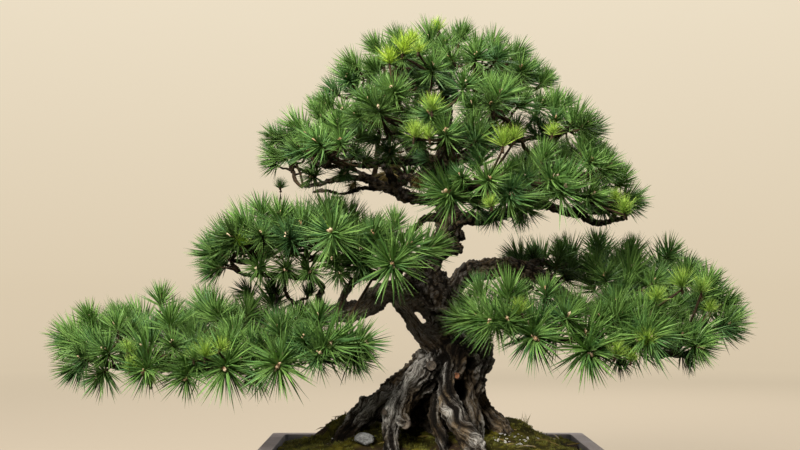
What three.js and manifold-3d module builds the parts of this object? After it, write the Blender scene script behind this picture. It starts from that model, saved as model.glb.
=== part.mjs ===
// A Japanese black pine bonsai in its rectangular clay pot.
// Millimetres, +Z up, front towards -Y. Places are measured from the middle of the pot's underside,
// and the finished tree is then set with the middle of its overall box over the origin.
import * as THREE from 'three';
import { mergeVertices } from 'three/addons/utils/BufferGeometryUtils.js';
import Module from 'manifold-3d';

const wasm = await Module();
wasm.setup();

// Driving dimensions

const GAP = 0.3;
const POT = {
  length: 421, depth: 300, height: 85, lipWidth: 18, lipHeight: 14, overhang: 11, taper: 10, corner: 6,
  floor: 13, footHeight: 12, footLength: 62, footDepth: 42, footInset: 8, drainRadius: 11, drainApart: 190,
};
const SOIL = { edge: 77, mound: 38, reachX: 205, plateauX: 70, frontFoot: -125, frontRise: 170, backFoot: 145,
  backRise: 100, ripple: 1.6, cellsX: 9, cellsY: 7 };
const STONE = { at: [-80, -46, 100], size: [13, 10, 8] };
const NEEDLE = { low: 46, crown: 37, vary: 0.12, radius: 1.3, footRadius: 2, footShare: 0.35, leanNeck: 98,
  leanTip: 26, loose: 0.05, looser: 0.035, tries: 14, longTries: 10, short: 0.6 };
const TUFT = { sides: 4, twig: 1.5, neck: 1.8, belly: 2, tip: 1.2, core: 10, room: 3 };
const SIDE_TUFT = { out: 0.7, aside: 0.72, depth: 8, scatter: 0.2, turn: 0.3, turnMore: 0.05, tries: 30,
  firstTwig: 0.36, nextTwig: 0.08, droop: 0.35 };
const STEM = { knee: 0.5, sag: 0.1, share: 0.85, thickest: 3.4, taper: 0.8, swell: 0.3, tries: 40,
  sideways: [0.12, -0.12, 0.3, -0.3] };
const PERCH = { above: 0.8, headroom: 6, outside: 0.7, slack: 20, thirds: [1 / 3, 2 / 3, 1] };
const FLUTE = { deep: 0.14, shallow: 0.03, fades: 0.75, ridges: 5, smallRidges: 8, twist: 7, smallTwist: -9 };
const LIMB_DETAIL = { thick: 10, sides: 6, fewSides: 4, steps: 0.75 };
const TRUNK_DETAIL = { sides: 14, steps: 16, room: 1.15 };
const CLEAR = 0.5;
const KEPT_SHARE = 0.75;
const SEED = 7319;

const PAINT = {
  clay: { color: 0x7c706b, roughness: 0.85, metalness: 0 },
  soil: { color: 0x4c4a22, roughness: 1, metalness: 0 },
  bark: { color: 0x4a4038, roughness: 0.9, metalness: 0 },
  stone: { color: 0x9a9a94, roughness: 0.9, metalness: 0 },
  needles: { color: 0x3f7030, roughness: 0.55, metalness: 0 },
};

// The wood: each limb is a list of [x, y, z, radius], from where it grows to its tip

const TRUNK = [
  [10, 18, 62, 36], [12, 18, 86, 39], [14, 18, 115, 39], [18, 10, 150, 43], [26, 2, 184, 45],
  [37, 0, 208, 42], [34, -2, 235, 33], [11, -2, 262, 32], [0, 0, 285, 33], [0, 0, 305, 26], [7, 2, 323, 20],
  [21, 4, 345, 16.5], [25, 5, 364, 15], [21, 6, 390, 13], [18, 5, 420, 11.5], [18, 4, 450, 9.6],
  [21, 3, 482, 7.8], [19, 2, 516, 6.2], [13, 1, 546, 4.6], [9, 0, 570, 3],
];
const STRAND = [[-34, -4, 286, 10], [-37, -8, 266, 8.2], [-31, -10, 250, 7.8], [-19, -12, 232, 8],
  [-5, -12, 212, 10], [9, -10, 190, 15]];
const ROOTS = [
  [[2, -8, 183, 22], [-29, -10, 162, 20], [-54, -12, 143, 18], [-78, -14, 131, 16], [-97, -18, 110, 12],
    [-113, -24, 92, 9], [-128, -30, 76, 6]],
  [[-2, -30, 182, 18], [-20, -44, 158, 17], [-34, -52, 132, 14], [-44, -58, 108, 11], [-46, -62, 88, 10],
    [-46, -62, 70, 8]],
  [[10, -34, 152, 13], [6, -46, 126, 9], [12, -52, 104, 8], [18, -57, 80, 6]],
  [[24, -34, 192, 16], [14, -48, 166, 15], [24, -58, 138, 14], [34, -66, 116, 14], [46, -76, 98, 13],
    [56, -84, 82, 10], [62, -90, 66, 7]],
  [[60, -8, 198, 22], [52, -14, 170, 18], [50, -20, 145, 15], [54, -26, 120, 13], [60, -32, 92, 10]],
  [[44, 10, 158, 20], [58, 12, 130, 15], [76, 8, 112, 11], [92, 4, 99, 9], [106, 0, 84, 6]],
  [[0, 24, 152, 22], [-22, 55, 120, 15], [-45, 85, 98, 9], [-60, 104, 80, 5]],
  [[35, 26, 152, 20], [55, 58, 118, 13], [78, 86, 96, 8], [92, 102, 78, 5]],
  [[-10, 10, 145, 22], [-48, 24, 120, 15], [-82, 38, 104, 9], [-106, 48, 88, 5]],
];
const STUBS = [
  [[6, -24, 190, 9.5], [0, -56, 189, 8]],
  [[-34, -50, 140, 8], [-30, -72, 131, 6.5]],
  [[14, 0, 332, 9], [43, -4, 329, 6.5]],
  [[18, 2, 350, 8], [45, 0, 347, 5.5]],
];
const BRANCHES = {
  leftLow: [[2, 0, 285, 21], [-32, -2, 281, 15], [-54, -6, 277, 12.5], [-84, -12, 255, 11],
    [-112, -18, 250, 9.5], [-138, -22, 246, 8.5], [-152, -24, 230, 8], [-182, -26, 205, 7.4],
    [-232, -22, 190, 6.6], [-288, -14, 183, 5.8], [-348, -8, 182, 5], [-404, -4, 186, 4.2],
    [-426, -2, 197, 3.2]],
  leftLowBack: [[-160, -24, 222, 6.5], [-196, 20, 212, 5], [-250, 60, 206, 4.2], [-310, 78, 206, 3.4],
    [-358, 76, 214, 2.8]],
  leftLowTop: [[-288, -14, 184, 4.6], [-312, 8, 206, 3.8], [-344, 22, 226, 3]],
  leftMiddle: [[-130, -20, 248, 6], [-139, -14, 268, 5], [-135, -10, 284, 4.6], [-149, -10, 294, 4.2],
    [-187, -8, 295, 3.8], [-232, -4, 296, 3.2]],
  leftMiddleLoop: [[-140, -20, 252, 4], [-160, -19, 257, 3.2], [-174, -15, 268, 2.8], [-181, -9, 292, 2.6]],
  leftMiddleFront: [[-112, -18, 250, 6.4], [-104, -32, 274, 5.2], [-88, -48, 292, 4.6], [-60, -72, 298, 4],
    [-34, -88, 300, 3.4]],
  leftMiddleBack: [[0, 4, 302, 11], [-32, 30, 312, 6.6], [-72, 55, 319, 5.2], [-122, 70, 322, 4.2],
    [-168, 70, 324, 3.2]],
  leftMiddleTop: [[16, 2, 368, 8], [-6, 4, 367, 4.8], [-18, 8, 358, 4.2], [-32, 14, 347, 3.8],
    [-72, 20, 344, 3.2], [-120, 10, 348, 2.8], [-160, 0, 350, 2.4]],
  right: [[6, 0, 285, 20], [30, -2, 293, 15], [46, -4, 308, 13], [62, -6, 305, 12], [87, -8, 304, 11],
    [107, -10, 307, 10], [141, -16, 291, 9], [166, -20, 268, 8.4], [193, -24, 254, 7.4],
    [216, -26, 238, 6.4], [250, -26, 212, 5.6], [296, -18, 202, 4.6], [330, -6, 205, 3.8], [354, 4, 214, 3]],
  rightBack: [[102, -8, 306, 7], [126, 20, 312, 5.4], [156, 50, 311, 4.6], [202, 72, 308, 4],
    [255, 80, 304, 3.4], [302, 78, 298, 2.8]],
  rightMiddle: [[190, -22, 255, 6], [220, 0, 261, 4.8], [262, 12, 262, 4], [310, 22, 260, 3.4],
    [342, 28, 260, 2.8]],
  rightFront: [[118, -12, 302, 6.6], [106, -45, 272, 5], [92, -76, 252, 4], [78, -92, 242, 3.2]],
  rightFrontLow: [[168, -20, 268, 6.4], [166, -54, 241, 4.8], [174, -84, 224, 3.8]],
  rightFrontTip: [[250, -26, 213, 4.8], [241, -60, 206, 3.8], [229, -84, 201, 3]],
  rightBackLow: [[216, -24, 238, 5.4], [244, 36, 238, 4.2], [268, 82, 240, 3.2], [304, 102, 240, 2.6]],
  crownLeft: [[17, 4, 408, 9], [-24, -6, 412, 6], [-55, -12, 413, 5.2], [-92, -16, 418, 4.4],
    [-126, -14, 412, 3.6], [-158, -6, 408, 3]],
  crownLeftFront: [[17, 4, 444, 7.5], [-26, -26, 437, 5.4], [-66, -48, 433, 4.6], [-104, -62, 426, 3.8],
    [-138, -66, 430, 3]],
  crownRight: [[23, 4, 372, 11], [52, -10, 365, 8], [88, -20, 374, 7], [134, -28, 383, 6],
    [170, -30, 372, 5.2], [210, -22, 364, 4.4], [242, -8, 369, 3.4]],
  crownRightFront: [[88, -20, 374, 5.8], [114, -58, 384, 4.4], [148, -80, 396, 3.6], [178, -84, 408, 3]],
  crownRightHigh: [[18, 4, 432, 8], [56, -14, 453, 6], [68, -22, 481, 4.8], [86, -30, 504, 3.6]],
  crownFront: [[17, 2, 418, 7.5], [22, -40, 412, 5.2], [34, -84, 402, 4.4], [52, -118, 394, 3.6]],
  crownFrontHigh: [[20, 2, 468, 6.6], [8, -40, 475, 4.6], [-8, -84, 477, 3.8], [-24, -114, 470, 3]],
  crownLeftHigh: [[19, 2, 490, 6.2], [-22, -8, 501, 4.6], [-62, -18, 511, 3.8], [-92, -28, 512, 3]],
  crownLeftBack: [[17, 6, 430, 7.6], [-16, 45, 426, 5.4], [-56, 84, 428, 4.4], [-95, 108, 436, 3.4]],
  crownBack: [[19, 6, 455, 7], [28, 50, 452, 5], [34, 95, 450, 4.2], [36, 132, 447, 3.2]],
  crownRightBack: [[21, 4, 398, 8.6], [60, 40, 396, 6], [110, 74, 400, 5], [160, 92, 406, 4],
    [194, 88, 408, 3]],
  crownRightMiddle: [[20, 3, 462, 6.8], [62, 10, 466, 5], [108, 18, 473, 4.2], [150, 22, 470, 3.4]],
  crownTopRight: [[19, 2, 512, 5], [50, 8, 523, 4], [80, 16, 528, 3]],
  crownTopBack: [[20, 2, 500, 5.4], [2, 40, 512, 3.8], [-18, 70, 518, 3]],
};

// The foliage: each pad has a heart that its sprays grow away from, each spray a middle and a number of tufts

const PADS = {
  crown: {
    heart: [20, 10, 395], lift: 0.3, spread: 27, needle: NEEDLE.crown, sprays: [
      [2, -10, 580, 3], [-42, -68, 546, 3], [54, -60, 554, 3], [-14, 62, 550, 3],
      [106, 62, 548, 3], [-92, -18, 530, 3], [116, -22, 534, 3], [-66, -122, 484, 3], [74, -122, 492, 2],
      [-66, 96, 492, 2], [-152, -44, 468, 3], [-124, -108, 442, 2], [14, -158, 446, 3], [164, -74, 472, 3],
      [-138, 86, 466, 3], [78, 140, 486, 3], [190, 40, 457, 3], [-180, 14, 442, 2], [58, -158, 396, 3],
      [130, -122, 402, 2], [194, -86, 418, 3], [234, -20, 386, 3], [150, 132, 424, 3], [-24, 164, 434, 2],
    ],
  },
  left_middle: {
    heart: [-125, 0, 285], lift: 0.35, spread: 32, needle: NEEDLE.low, sprays: [
      [-250, 0, 317, 3], [-212, -56, 340, 3], [-150, -66, 339, 3], [-148, 34, 347, 2], [-90, -96, 312, 2],
      [-38, -112, 319, 3], [-86, 44, 340, 2], [-186, 88, 332, 3],
    ],
  },
  left_low: {
    heart: [-235, -5, 160], lift: 0.3, spread: 33, needle: NEEDLE.low, sprays: [
      [-430, 0, 211, 3], [-396, -50, 202, 3], [-362, 34, 230, 3], [-330, -66, 200, 3], [-272, -70, 186, 2],
      [-268, 12, 236, 2], [-216, -60, 200, 3], [-152, -84, 204, 3], [-110, -98, 218, 2], [-300, 96, 214, 2],
      [-190, 90, 222, 2],
    ],
  },
  right: {
    heart: [195, 0, 215], lift: 0.3, spread: 33, needle: NEEDLE.low, sprays: [
      [66, -116, 240, 3], [122, -112, 232, 2], [178, -108, 222, 2], [226, -104, 214, 2], [250, -60, 244, 3],
      [300, -62, 218, 2], [352, -6, 232, 3], [346, 34, 258, 2], [240, -24, 288, 3], [150, 74, 304, 2],
      [226, 96, 312, 2], [304, 84, 302, 2], [280, 110, 240, 2],
    ],
  },
};

// A seeded draw between 0 and 1, the same in every run
function draws(seed) {
  let state = seed;
  return () => {
    state = (state + 0x6d2b79f5) | 0;
    let mixed = Math.imul(state ^ (state >>> 15), 1 | state);
    mixed = (mixed + Math.imul(mixed ^ (mixed >>> 7), 61 | mixed)) ^ mixed;
    return ((mixed ^ (mixed >>> 14)) >>> 0) / 4294967296;
  };
}
const draw = draws(SEED);
const vary = (amount) => (draw() * 2 - 1) * amount;
const vector = (place) => new THREE.Vector3(place[0], place[1], place[2]);
const lerp = THREE.MathUtils.lerp;
const ease = (value) => THREE.MathUtils.smoothstep(value, 0, 1);

// Closed meshes and solids
function toSolid(geometry) {
  const bare = geometry.clone();
  bare.deleteAttribute('normal');
  bare.deleteAttribute('uv');
  const merged = mergeVertices(bare, 1e-4);
  return new wasm.Manifold(new wasm.Mesh({
    numProp: 3,
    vertProperties: new Float32Array(merged.attributes.position.array),
    triVerts: new Uint32Array(merged.index.array),
  }));
}

function toMesh(name, solid, paint) {
  const { vertProperties, triVerts } = solid.getMesh();
  const geometry = new THREE.BufferGeometry();
  geometry.setAttribute('position', new THREE.BufferAttribute(new Float32Array(vertProperties), 3));
  geometry.setIndex([...triVerts]);
  geometry.computeVertexNormals();
  const mesh = new THREE.Mesh(geometry, new THREE.MeshStandardMaterial(paint));
  mesh.name = name;
  return mesh;
}

const join = (solids) => solids.reduce((whole, piece) => whole.add(piece));
const largest = (solid) => solid.decompose().sort((a, b) => b.volume() - a.volume())[0];

// The rings of a limb: a middle, a radius and two directions across it, turned no more than they must be
function rings(route, steps, extra) {
  const way = new THREE.CatmullRomCurve3(route.map(vector));
  let across = null;
  return Array.from({ length: steps + 1 }, (unused, index) => {
    const part = index / steps;
    const along = way.getTangent(part);
    across ??= new THREE.Vector3(0, 0, 1).cross(along).lengthSq() > 0.01
      ? new THREE.Vector3(0, 0, 1).cross(along) : new THREE.Vector3(1, 0, 0);
    across = across.clone().addScaledVector(along, -across.dot(along)).normalize();
    const place = part * (route.length - 1);
    const before = Math.min(Math.floor(place), route.length - 2);
    const radius = lerp(route[before][3], route[before + 1][3], place - before) + extra;
    return { middle: way.getPoint(part), radius, across, other: across.clone().cross(along) };
  });
}

// A cylinder bent along a route, with its own radius at each ring and, where asked, a fluted section
function limb(route, sides, steps, extra = 0, flute = () => 1) {
  const shape = new THREE.CylinderGeometry(1, 1, 1, sides, steps);
  const frames = rings(route, steps, extra);
  const position = shape.attributes.position;
  for (let index = 0; index < position.count; index += 1) {
    const [x, y, z] = [position.getX(index), position.getY(index), position.getZ(index)];
    const ring = frames[Math.round((y + 0.5) * steps)];
    const radius = ring.radius * flute(Math.atan2(z, x), y + 0.5);
    const point = ring.middle.clone().addScaledVector(ring.across, x * radius)
      .addScaledVector(ring.other, z * radius);
    position.setXYZ(index, point.x, point.y, point.z);
  }
  return shape;
}

// Lengths already taken by wood and needles, so that what grows next can bend clear of them
const taken = [];
const nearest = [new THREE.Vector3(), new THREE.Vector3()];

function take(owner, start, end, radius) {
  const middle = start.clone().add(end).multiplyScalar(0.5);
  taken.push({ owner, line: new THREE.Line3(start, end), radius, middle, half: start.distanceTo(end) / 2 });
}

function takeLimb(owner, route, steps) {
  const frames = rings(route, steps, 0);
  for (let index = 0; index < steps; index += 1) {
    const [from, to] = [frames[index], frames[index + 1]];
    take(owner, from.middle, to.middle, Math.max(from.radius, to.radius));
  }
}

function isClear(start, end, radius, counts) {
  const line = new THREE.Line3(start, end);
  const middle = start.clone().add(end).multiplyScalar(0.5);
  const half = start.distanceTo(end) / 2;
  return !taken.some((other) => {
    const room = radius + other.radius + CLEAR;
    if (middle.distanceTo(other.middle) > half + other.half + room || !counts(other.owner)) return false;
    return line.distanceSqToLine3(other.line, ...nearest) < room * room;
  });
}

// The pot

// A tapered block with rounded corners, from one height to another, given by its size at the top
function block(length, depth, corner, bottom, top, taper) {
  const [x, y] = [length / 2, depth / 2];
  const outline = new THREE.Shape();
  outline.absarc(x - corner, y - corner, corner, 0, Math.PI / 2);
  outline.absarc(corner - x, y - corner, corner, Math.PI / 2, Math.PI);
  outline.absarc(corner - x, corner - y, corner, Math.PI, Math.PI * 1.5);
  outline.absarc(x - corner, corner - y, corner, Math.PI * 1.5, Math.PI * 2);
  const height = top - bottom;
  const shape = new THREE.ExtrudeGeometry(outline, { depth: height, bevelEnabled: false, curveSegments: 1 });
  const position = shape.attributes.position;
  for (let index = 0; index < position.count; index += 1) {
    const inset = taper * (1 - position.getZ(index) / height);
    const scale = [(x - inset) / x, (y - inset) / y];
    position.setXY(index, position.getX(index) * scale[0], position.getY(index) * scale[1]);
  }
  return shape.translate(0, 0, bottom);
}

// The hollow of the pot, or what fills it a little clear of its walls, up to any height
function cavity(inset, top) {
  const bottom = POT.floor + POT.footHeight;
  const spare = (POT.taper * (top - POT.height)) / (POT.height - bottom);
  const side = 2 * (POT.lipWidth + inset - spare);
  const [length, depth, taper] = [POT.length - side, POT.depth - side, POT.taper + spare];
  return toSolid(block(length, depth, POT.corner, bottom + inset, top, taper));
}

function potSolid() {
  const under = POT.height - POT.lipHeight;
  const lip = toSolid(block(POT.length, POT.depth, POT.corner, under, POT.height, 0));
  const length = POT.length - 2 * POT.overhang;
  const depth = POT.depth - 2 * POT.overhang;
  const body = toSolid(block(length, depth, POT.corner, POT.footHeight, under + 1, POT.taper));
  const feet = [[-1, -1], [-1, 1], [1, -1], [1, 1]].map(([sideX, sideY]) => {
    const away = POT.overhang + POT.taper + POT.footInset;
    const foot = block(POT.footLength, POT.footDepth, POT.corner, 0, POT.footHeight + 2, 2);
    return toSolid(foot.translate(sideX * (POT.length / 2 - away - POT.footLength / 2),
      sideY * (POT.depth / 2 - away - POT.footDepth / 2), 0));
  });
  const drains = [-0.5, 0.5].map((side) => toSolid(
    new THREE.CylinderGeometry(POT.drainRadius, POT.drainRadius, 40, 10).rotateX(Math.PI / 2)
      .translate(side * POT.drainApart, 0, POT.footHeight)));
  return join([lip, body, ...feet]).subtract(cavity(0, POT.height + 1)).subtract(join(drains));
}

// The soil and the stone

function soilHeight(x, y) {
  const across = ease((SOIL.reachX - Math.abs(x)) / (SOIL.reachX - SOIL.plateauX));
  const front = ease((y - SOIL.frontFoot) / SOIL.frontRise);
  const back = ease((SOIL.backFoot - y) / SOIL.backRise);
  const ripple = SOIL.ripple * (Math.sin(x / 17 + y / 29) + Math.cos(y / 13 - x / 41));
  return SOIL.edge + SOIL.mound * across * front * back + ripple;
}

function soilSolid(wood, stone) {
  const shape = new THREE.BoxGeometry(POT.length, POT.depth, 1, SOIL.cellsX, SOIL.cellsY, 1);
  const position = shape.attributes.position;
  for (let index = 0; index < position.count; index += 1) {
    const [x, y] = [position.getX(index), position.getY(index)];
    position.setZ(index, position.getZ(index) > 0 ? soilHeight(x, y) : 0);
  }
  const held = toSolid(shape).intersect(cavity(GAP, POT.height + SOIL.mound));
  return largest(held.subtract(wood).subtract(stone));
}

function stoneSolid(extra) {
  const shape = new THREE.IcosahedronGeometry(1, 1);
  const position = shape.attributes.position;
  for (let index = 0; index < position.count; index += 1) {
    const [x, y, z] = [position.getX(index), position.getY(index), position.getZ(index)];
    const lump = 1 + 0.09 * Math.sin(5 * x + 2 * z) + 0.07 * Math.cos(6 * y - 3 * x);
    const size = STONE.size.map((half) => half * lump + extra);
    position.setXYZ(index, x * size[0], y * size[1], z * size[2]);
  }
  return toSolid(shape.translate(...STONE.at));
}

// The wood of the tree

// The ridges that wind up the trunk, deep at its foot and shallow above
const fluted = (angle, part) => {
  const strength = FLUTE.deep * (1 - ease(part / FLUTE.fades)) + FLUTE.shallow;
  const large = Math.cos(FLUTE.ridges * angle + FLUTE.twist * part);
  const small = Math.cos(FLUTE.smallRidges * angle + FLUTE.smallTwist * part);
  return 1 + strength * (large + small / 2);
};

// Sides and steps that keep round what is thick and spare what is thin
function limbDetail(route) {
  const sides = route[0][3] >= LIMB_DETAIL.thick ? LIMB_DETAIL.sides : LIMB_DETAIL.fewSides;
  return [sides, Math.max(2, Math.round((route.length - 1) * LIMB_DETAIL.steps))];
}

function woodSolid(extra) {
  const small = [STRAND, ...ROOTS, ...Object.values(BRANCHES)]
    .map((route) => limb(route, ...limbDetail(route), extra));
  const stubs = STUBS.map((route) => limb(route, 6, 1, extra));
    const trunk = limb(TRUNK, TRUNK_DETAIL.sides, TRUNK_DETAIL.steps, extra, fluted);
  return join([trunk, ...small, ...stubs].map(toSolid));
}

function takeWood() {
  const roomy = TRUNK.map(([x, y, z, radius]) => [x, y, z, radius * TRUNK_DETAIL.room]);
  takeLimb('wood', roomy, TRUNK_DETAIL.steps);
  [STRAND, ...ROOTS, ...Object.values(BRANCHES)].forEach((route) => {
    takeLimb('wood', route, limbDetail(route)[1]);
  });
}

// The sprays

// Where a spray can grow from: three points on each straight step of a branch, with the branch's radius there
function perches() {
  return Object.values(BRANCHES).flatMap((route) => {
    const frames = rings(route, limbDetail(route)[1], 0);
    return frames.slice(1).flatMap((ring, index) => PERCH.thirds.map((part) => ({
      middle: frames[index].middle.clone().lerp(ring.middle, part),
      radius: lerp(frames[index].radius, ring.radius, part),
    })));
  });
}

// How poor a perch is for a spray: far, above it, or further out than it
function reluctance(perch, target, heart) {
  const above = Math.max(0, perch.middle.z + PERCH.headroom - target.z);
  const outside = Math.max(0, perch.middle.distanceTo(heart) - target.distanceTo(heart) + PERCH.slack);
  return perch.middle.distanceTo(target) + PERCH.above * above + PERCH.outside * outside;
}

// A stem from its perch to the spray's middle, where it goes on as the core of the leading tuft
function stemRoute(perch, target, out, sideways) {
  const from = perch.middle;
  const reach = target.clone().sub(from);
  const aside = new THREE.Vector3(-reach.y, reach.x, 0).multiplyScalar(sideways);
  const knee = from.clone().addScaledVector(reach, STEM.knee).add(aside);
  knee.z -= STEM.sag * reach.length();
  const start = Math.min(perch.radius * STEM.share, STEM.thickest);
  const middle = start * STEM.taper + STEM.swell;
  return [[...from.toArray(), start], [...knee.toArray(), middle], ...coreRoute(target, out)];
}

// A core's three last places: its neck, belly and tip
function coreRoute(base, axis) {
  const belly = base.clone().addScaledVector(axis, TUFT.core * 0.5);
  const tip = base.clone().addScaledVector(axis, TUFT.core);
  return [[...base.toArray(), TUFT.neck], [...belly.toArray(), TUFT.belly], [...tip.toArray(), TUFT.tip]];
}

// A stem from the best perch that leaves other sprays' wood alone
function growStem(name, places, target, out, heart) {
  const ranked = places.map((perch) => ({ ...perch, rank: reluctance(perch, target, heart) }))
    .sort((a, b) => a.rank - b.rank);
  const foreign = (owner) => owner !== 'wood';
  for (const perch of ranked.slice(0, STEM.tries)) {
    for (const sideways of STEM.sideways) {
      const route = stemRoute(perch, target, out, sideways);
      const points = rings(route, route.length - 1, 0);
      const free = points.slice(1).every(({ middle, radius }, index) => (
        isClear(points[index].middle, middle, radius, index === 0 ? foreign : () => true)));
      if (free) return route;
    }
  }
  throw new Error(`no room for the stem of ${name}`);
}

// One needle's tip: tries a few directions round its own, then shorter ones, until it is clear of the rest
function needleTip(foot, direction, length, owner) {
  const counts = (other) => !other.startsWith(owner);
  for (let attempt = 0; attempt < NEEDLE.tries; attempt += 1) {
    const loose = NEEDLE.loose + attempt * NEEDLE.looser;
    const bent = direction.clone().add(new THREE.Vector3(vary(loose), vary(loose), vary(loose))).normalize();
    const reach = length * (1 + vary(NEEDLE.vary)) * (attempt < NEEDLE.longTries ? 1 : NEEDLE.short);
    const tip = foot.clone().addScaledVector(bent, reach);
    const third = foot.clone().lerp(tip, NEEDLE.footShare);
    const clear = foot.clone().addScaledVector(bent, TUFT.belly);
    if (isClear(clear, third, NEEDLE.footRadius, counts) && isClear(third, tip, NEEDLE.radius, counts)) {
      take(owner, foot, third, NEEDLE.footRadius);
      take(owner, third, tip, NEEDLE.radius);
      return tip;
    }
  }
  return null;
}

// A twig and its tuft as one closed skin: each face round the core is raised into a needle, and so is its end
function tuftSolid(owner, route, length) {
  const steps = route.length - 1;
  const core = new THREE.Line3(vector(route[steps - 2]), vector(route[steps]));
  const axis = core.delta(new THREE.Vector3()).normalize();
  const flat = new THREE.CylinderGeometry(1, 1, 1, TUFT.sides, steps).toNonIndexed().attributes.position;
  const bent = limb(route, TUFT.sides, steps).toNonIndexed().attributes.position;
  const leader = needleTip(core.end, axis, length, owner) ?? core.end;
  const neck = 1 - 2 / steps;
  const points = [];
  for (let face = 0; face < bent.count; face += 3) {
    const corners = [0, 1, 2].map((corner) => new THREE.Vector3().fromBufferAttribute(bent, face + corner));
    const level = [0, 1, 2].reduce((sum, corner) => sum + flat.getY(face + corner), 0) / 3 + 0.5;
    if (level > 0.999) {
      points.push(...corners.map((corner) => (corner.distanceTo(core.end) < TUFT.tip / 2 ? leader : corner)));
    } else if (level > neck) {
      points.push(...needleFaces(owner, corners, core, axis, (level - neck) / (1 - neck), length));
    } else {
      points.push(...corners);
    }
  }
  return toSolid(new THREE.BufferGeometry().setFromPoints(points));
}

// One face of a core raised into a three-sided needle, which leans further out the nearer it is to the neck
function needleFaces(owner, [a, b, c], core, axis, rise, length) {
  const foot = a.clone().add(b).add(c).divideScalar(3);
  const lean = THREE.MathUtils.degToRad(lerp(NEEDLE.leanNeck, NEEDLE.leanTip, rise));
  const out = foot.clone().sub(core.closestPointToPoint(foot, false, new THREE.Vector3())).normalize();
  const direction = out.multiplyScalar(Math.sin(lean)).addScaledVector(axis, Math.cos(lean));
  const tip = needleTip(foot, direction, length, owner);
  return tip ? [a, b, tip, b, c, tip, c, a, tip] : [a, b, c];
}

// A way with most of its downward part drawn in, because shoots turn up to the light
const risen = (way) => new THREE.Vector3(way.x, way.y, way.z < 0 ? way.z * SIDE_TUFT.droop : way.z);

// The side tufts of a spray: on a ring round its leading tuft, each turned its own way and clear of the rest
function sideRoutes(name, pad, spray, out, stem) {
  const way = new THREE.CatmullRomCurve3(stem.map(vector));
  const sideA = new THREE.Vector3(0.31, 0.17, 1).cross(out).normalize();
  const sideB = out.clone().cross(sideA);
  const start = draw() * Math.PI * 2;
  const count = spray[3] - 1;
  const elsewhere = (owner) => !owner.startsWith(name);
  return Array.from({ length: count }, (unused, index) => {
    const from = way.getPoint(SIDE_TUFT.firstTwig + SIDE_TUFT.nextTwig * index);
    for (let attempt = 0; attempt < SIDE_TUFT.tries; attempt += 1) {
      const loose = SIDE_TUFT.turn + attempt * SIDE_TUFT.turnMore;
      const turn = start + (index * Math.PI * 2) / Math.max(count, 2) + vary(loose);
      const aside = sideA.clone().multiplyScalar(Math.cos(turn)).addScaledVector(sideB, Math.sin(turn));
      const spread = pad.spread * (1 + vary(SIDE_TUFT.scatter));
      const base = vector(spray).addScaledVector(risen(aside), spread)
        .addScaledVector(out, vary(SIDE_TUFT.depth));
      const axis = out.clone().multiplyScalar(SIDE_TUFT.out).addScaledVector(risen(aside), SIDE_TUFT.aside);
      const route = [[...from.toArray(), TUFT.twig], ...coreRoute(base, axis.normalize())];
      const points = rings(route, route.length - 1, 0);
      const free = points.slice(1).every(({ middle }, step) => (
        isClear(points[step].middle, middle, TUFT.room, elsewhere)));
      if (free) return route;
    }
    throw new Error(`no room for a side tuft of ${name}`);
  });
}

function growWood(name, pad, spray, places) {
  const target = vector(spray);
  const heart = vector(pad.heart);
  const lift = new THREE.Vector3(0, 0, pad.lift);
  const out = target.clone().sub(heart).normalize().add(lift).normalize();
  const stem = growStem(name, places, target, out, heart);
  const routes = [stem, ...sideRoutes(name, pad, spray, out, stem)];
  routes.forEach((route, index) => takeLimb(`${name}:tuft${index}`, route, route.length - 1));
  return { name, pad, routes };
}

function spraySolid({ name, pad, routes }, wood) {
  const whole = join(routes.map((route, index) => tuftSolid(`${name}:tuft${index}`, route, pad.needle)));
  const kept = largest(whole.subtract(wood));
  if (kept.volume() < whole.volume() * KEPT_SHARE) throw new Error(`${name} is cut through by the wood`);
  return kept;
}

// The whole tree

const bonsai = new THREE.Group();
const clearOfWood = woodSolid(GAP);
bonsai.add(toMesh('pot', potSolid(), PAINT.clay));
bonsai.add(toMesh('soil', soilSolid(clearOfWood, stoneSolid(GAP)), PAINT.soil));
bonsai.add(toMesh('trunk', woodSolid(0), PAINT.bark));
bonsai.add(toMesh('stone', stoneSolid(0), PAINT.stone));

takeWood();
const places = perches();
const grown = Object.entries(PADS).flatMap(([padName, pad]) => pad.sprays.map((spray, index) => {
  const name = `${padName}_spray_${String(index + 1).padStart(2, '0')}`;
  return growWood(name, pad, spray, places);
}));
grown.forEach((spray) => bonsai.add(toMesh(spray.name, spraySolid(spray, clearOfWood), PAINT.needles)));

const overall = new THREE.Box3().setFromObject(bonsai);
const centre = overall.getCenter(new THREE.Vector3());
bonsai.position.set(-centre.x, -centre.y, -overall.min.z);

export default bonsai;
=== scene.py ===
import math
import random

import bmesh
import bpy
import numpy as np
from mathutils import Matrix, Vector, kdtree, noise
from mathutils.bvhtree import BVHTree


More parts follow.
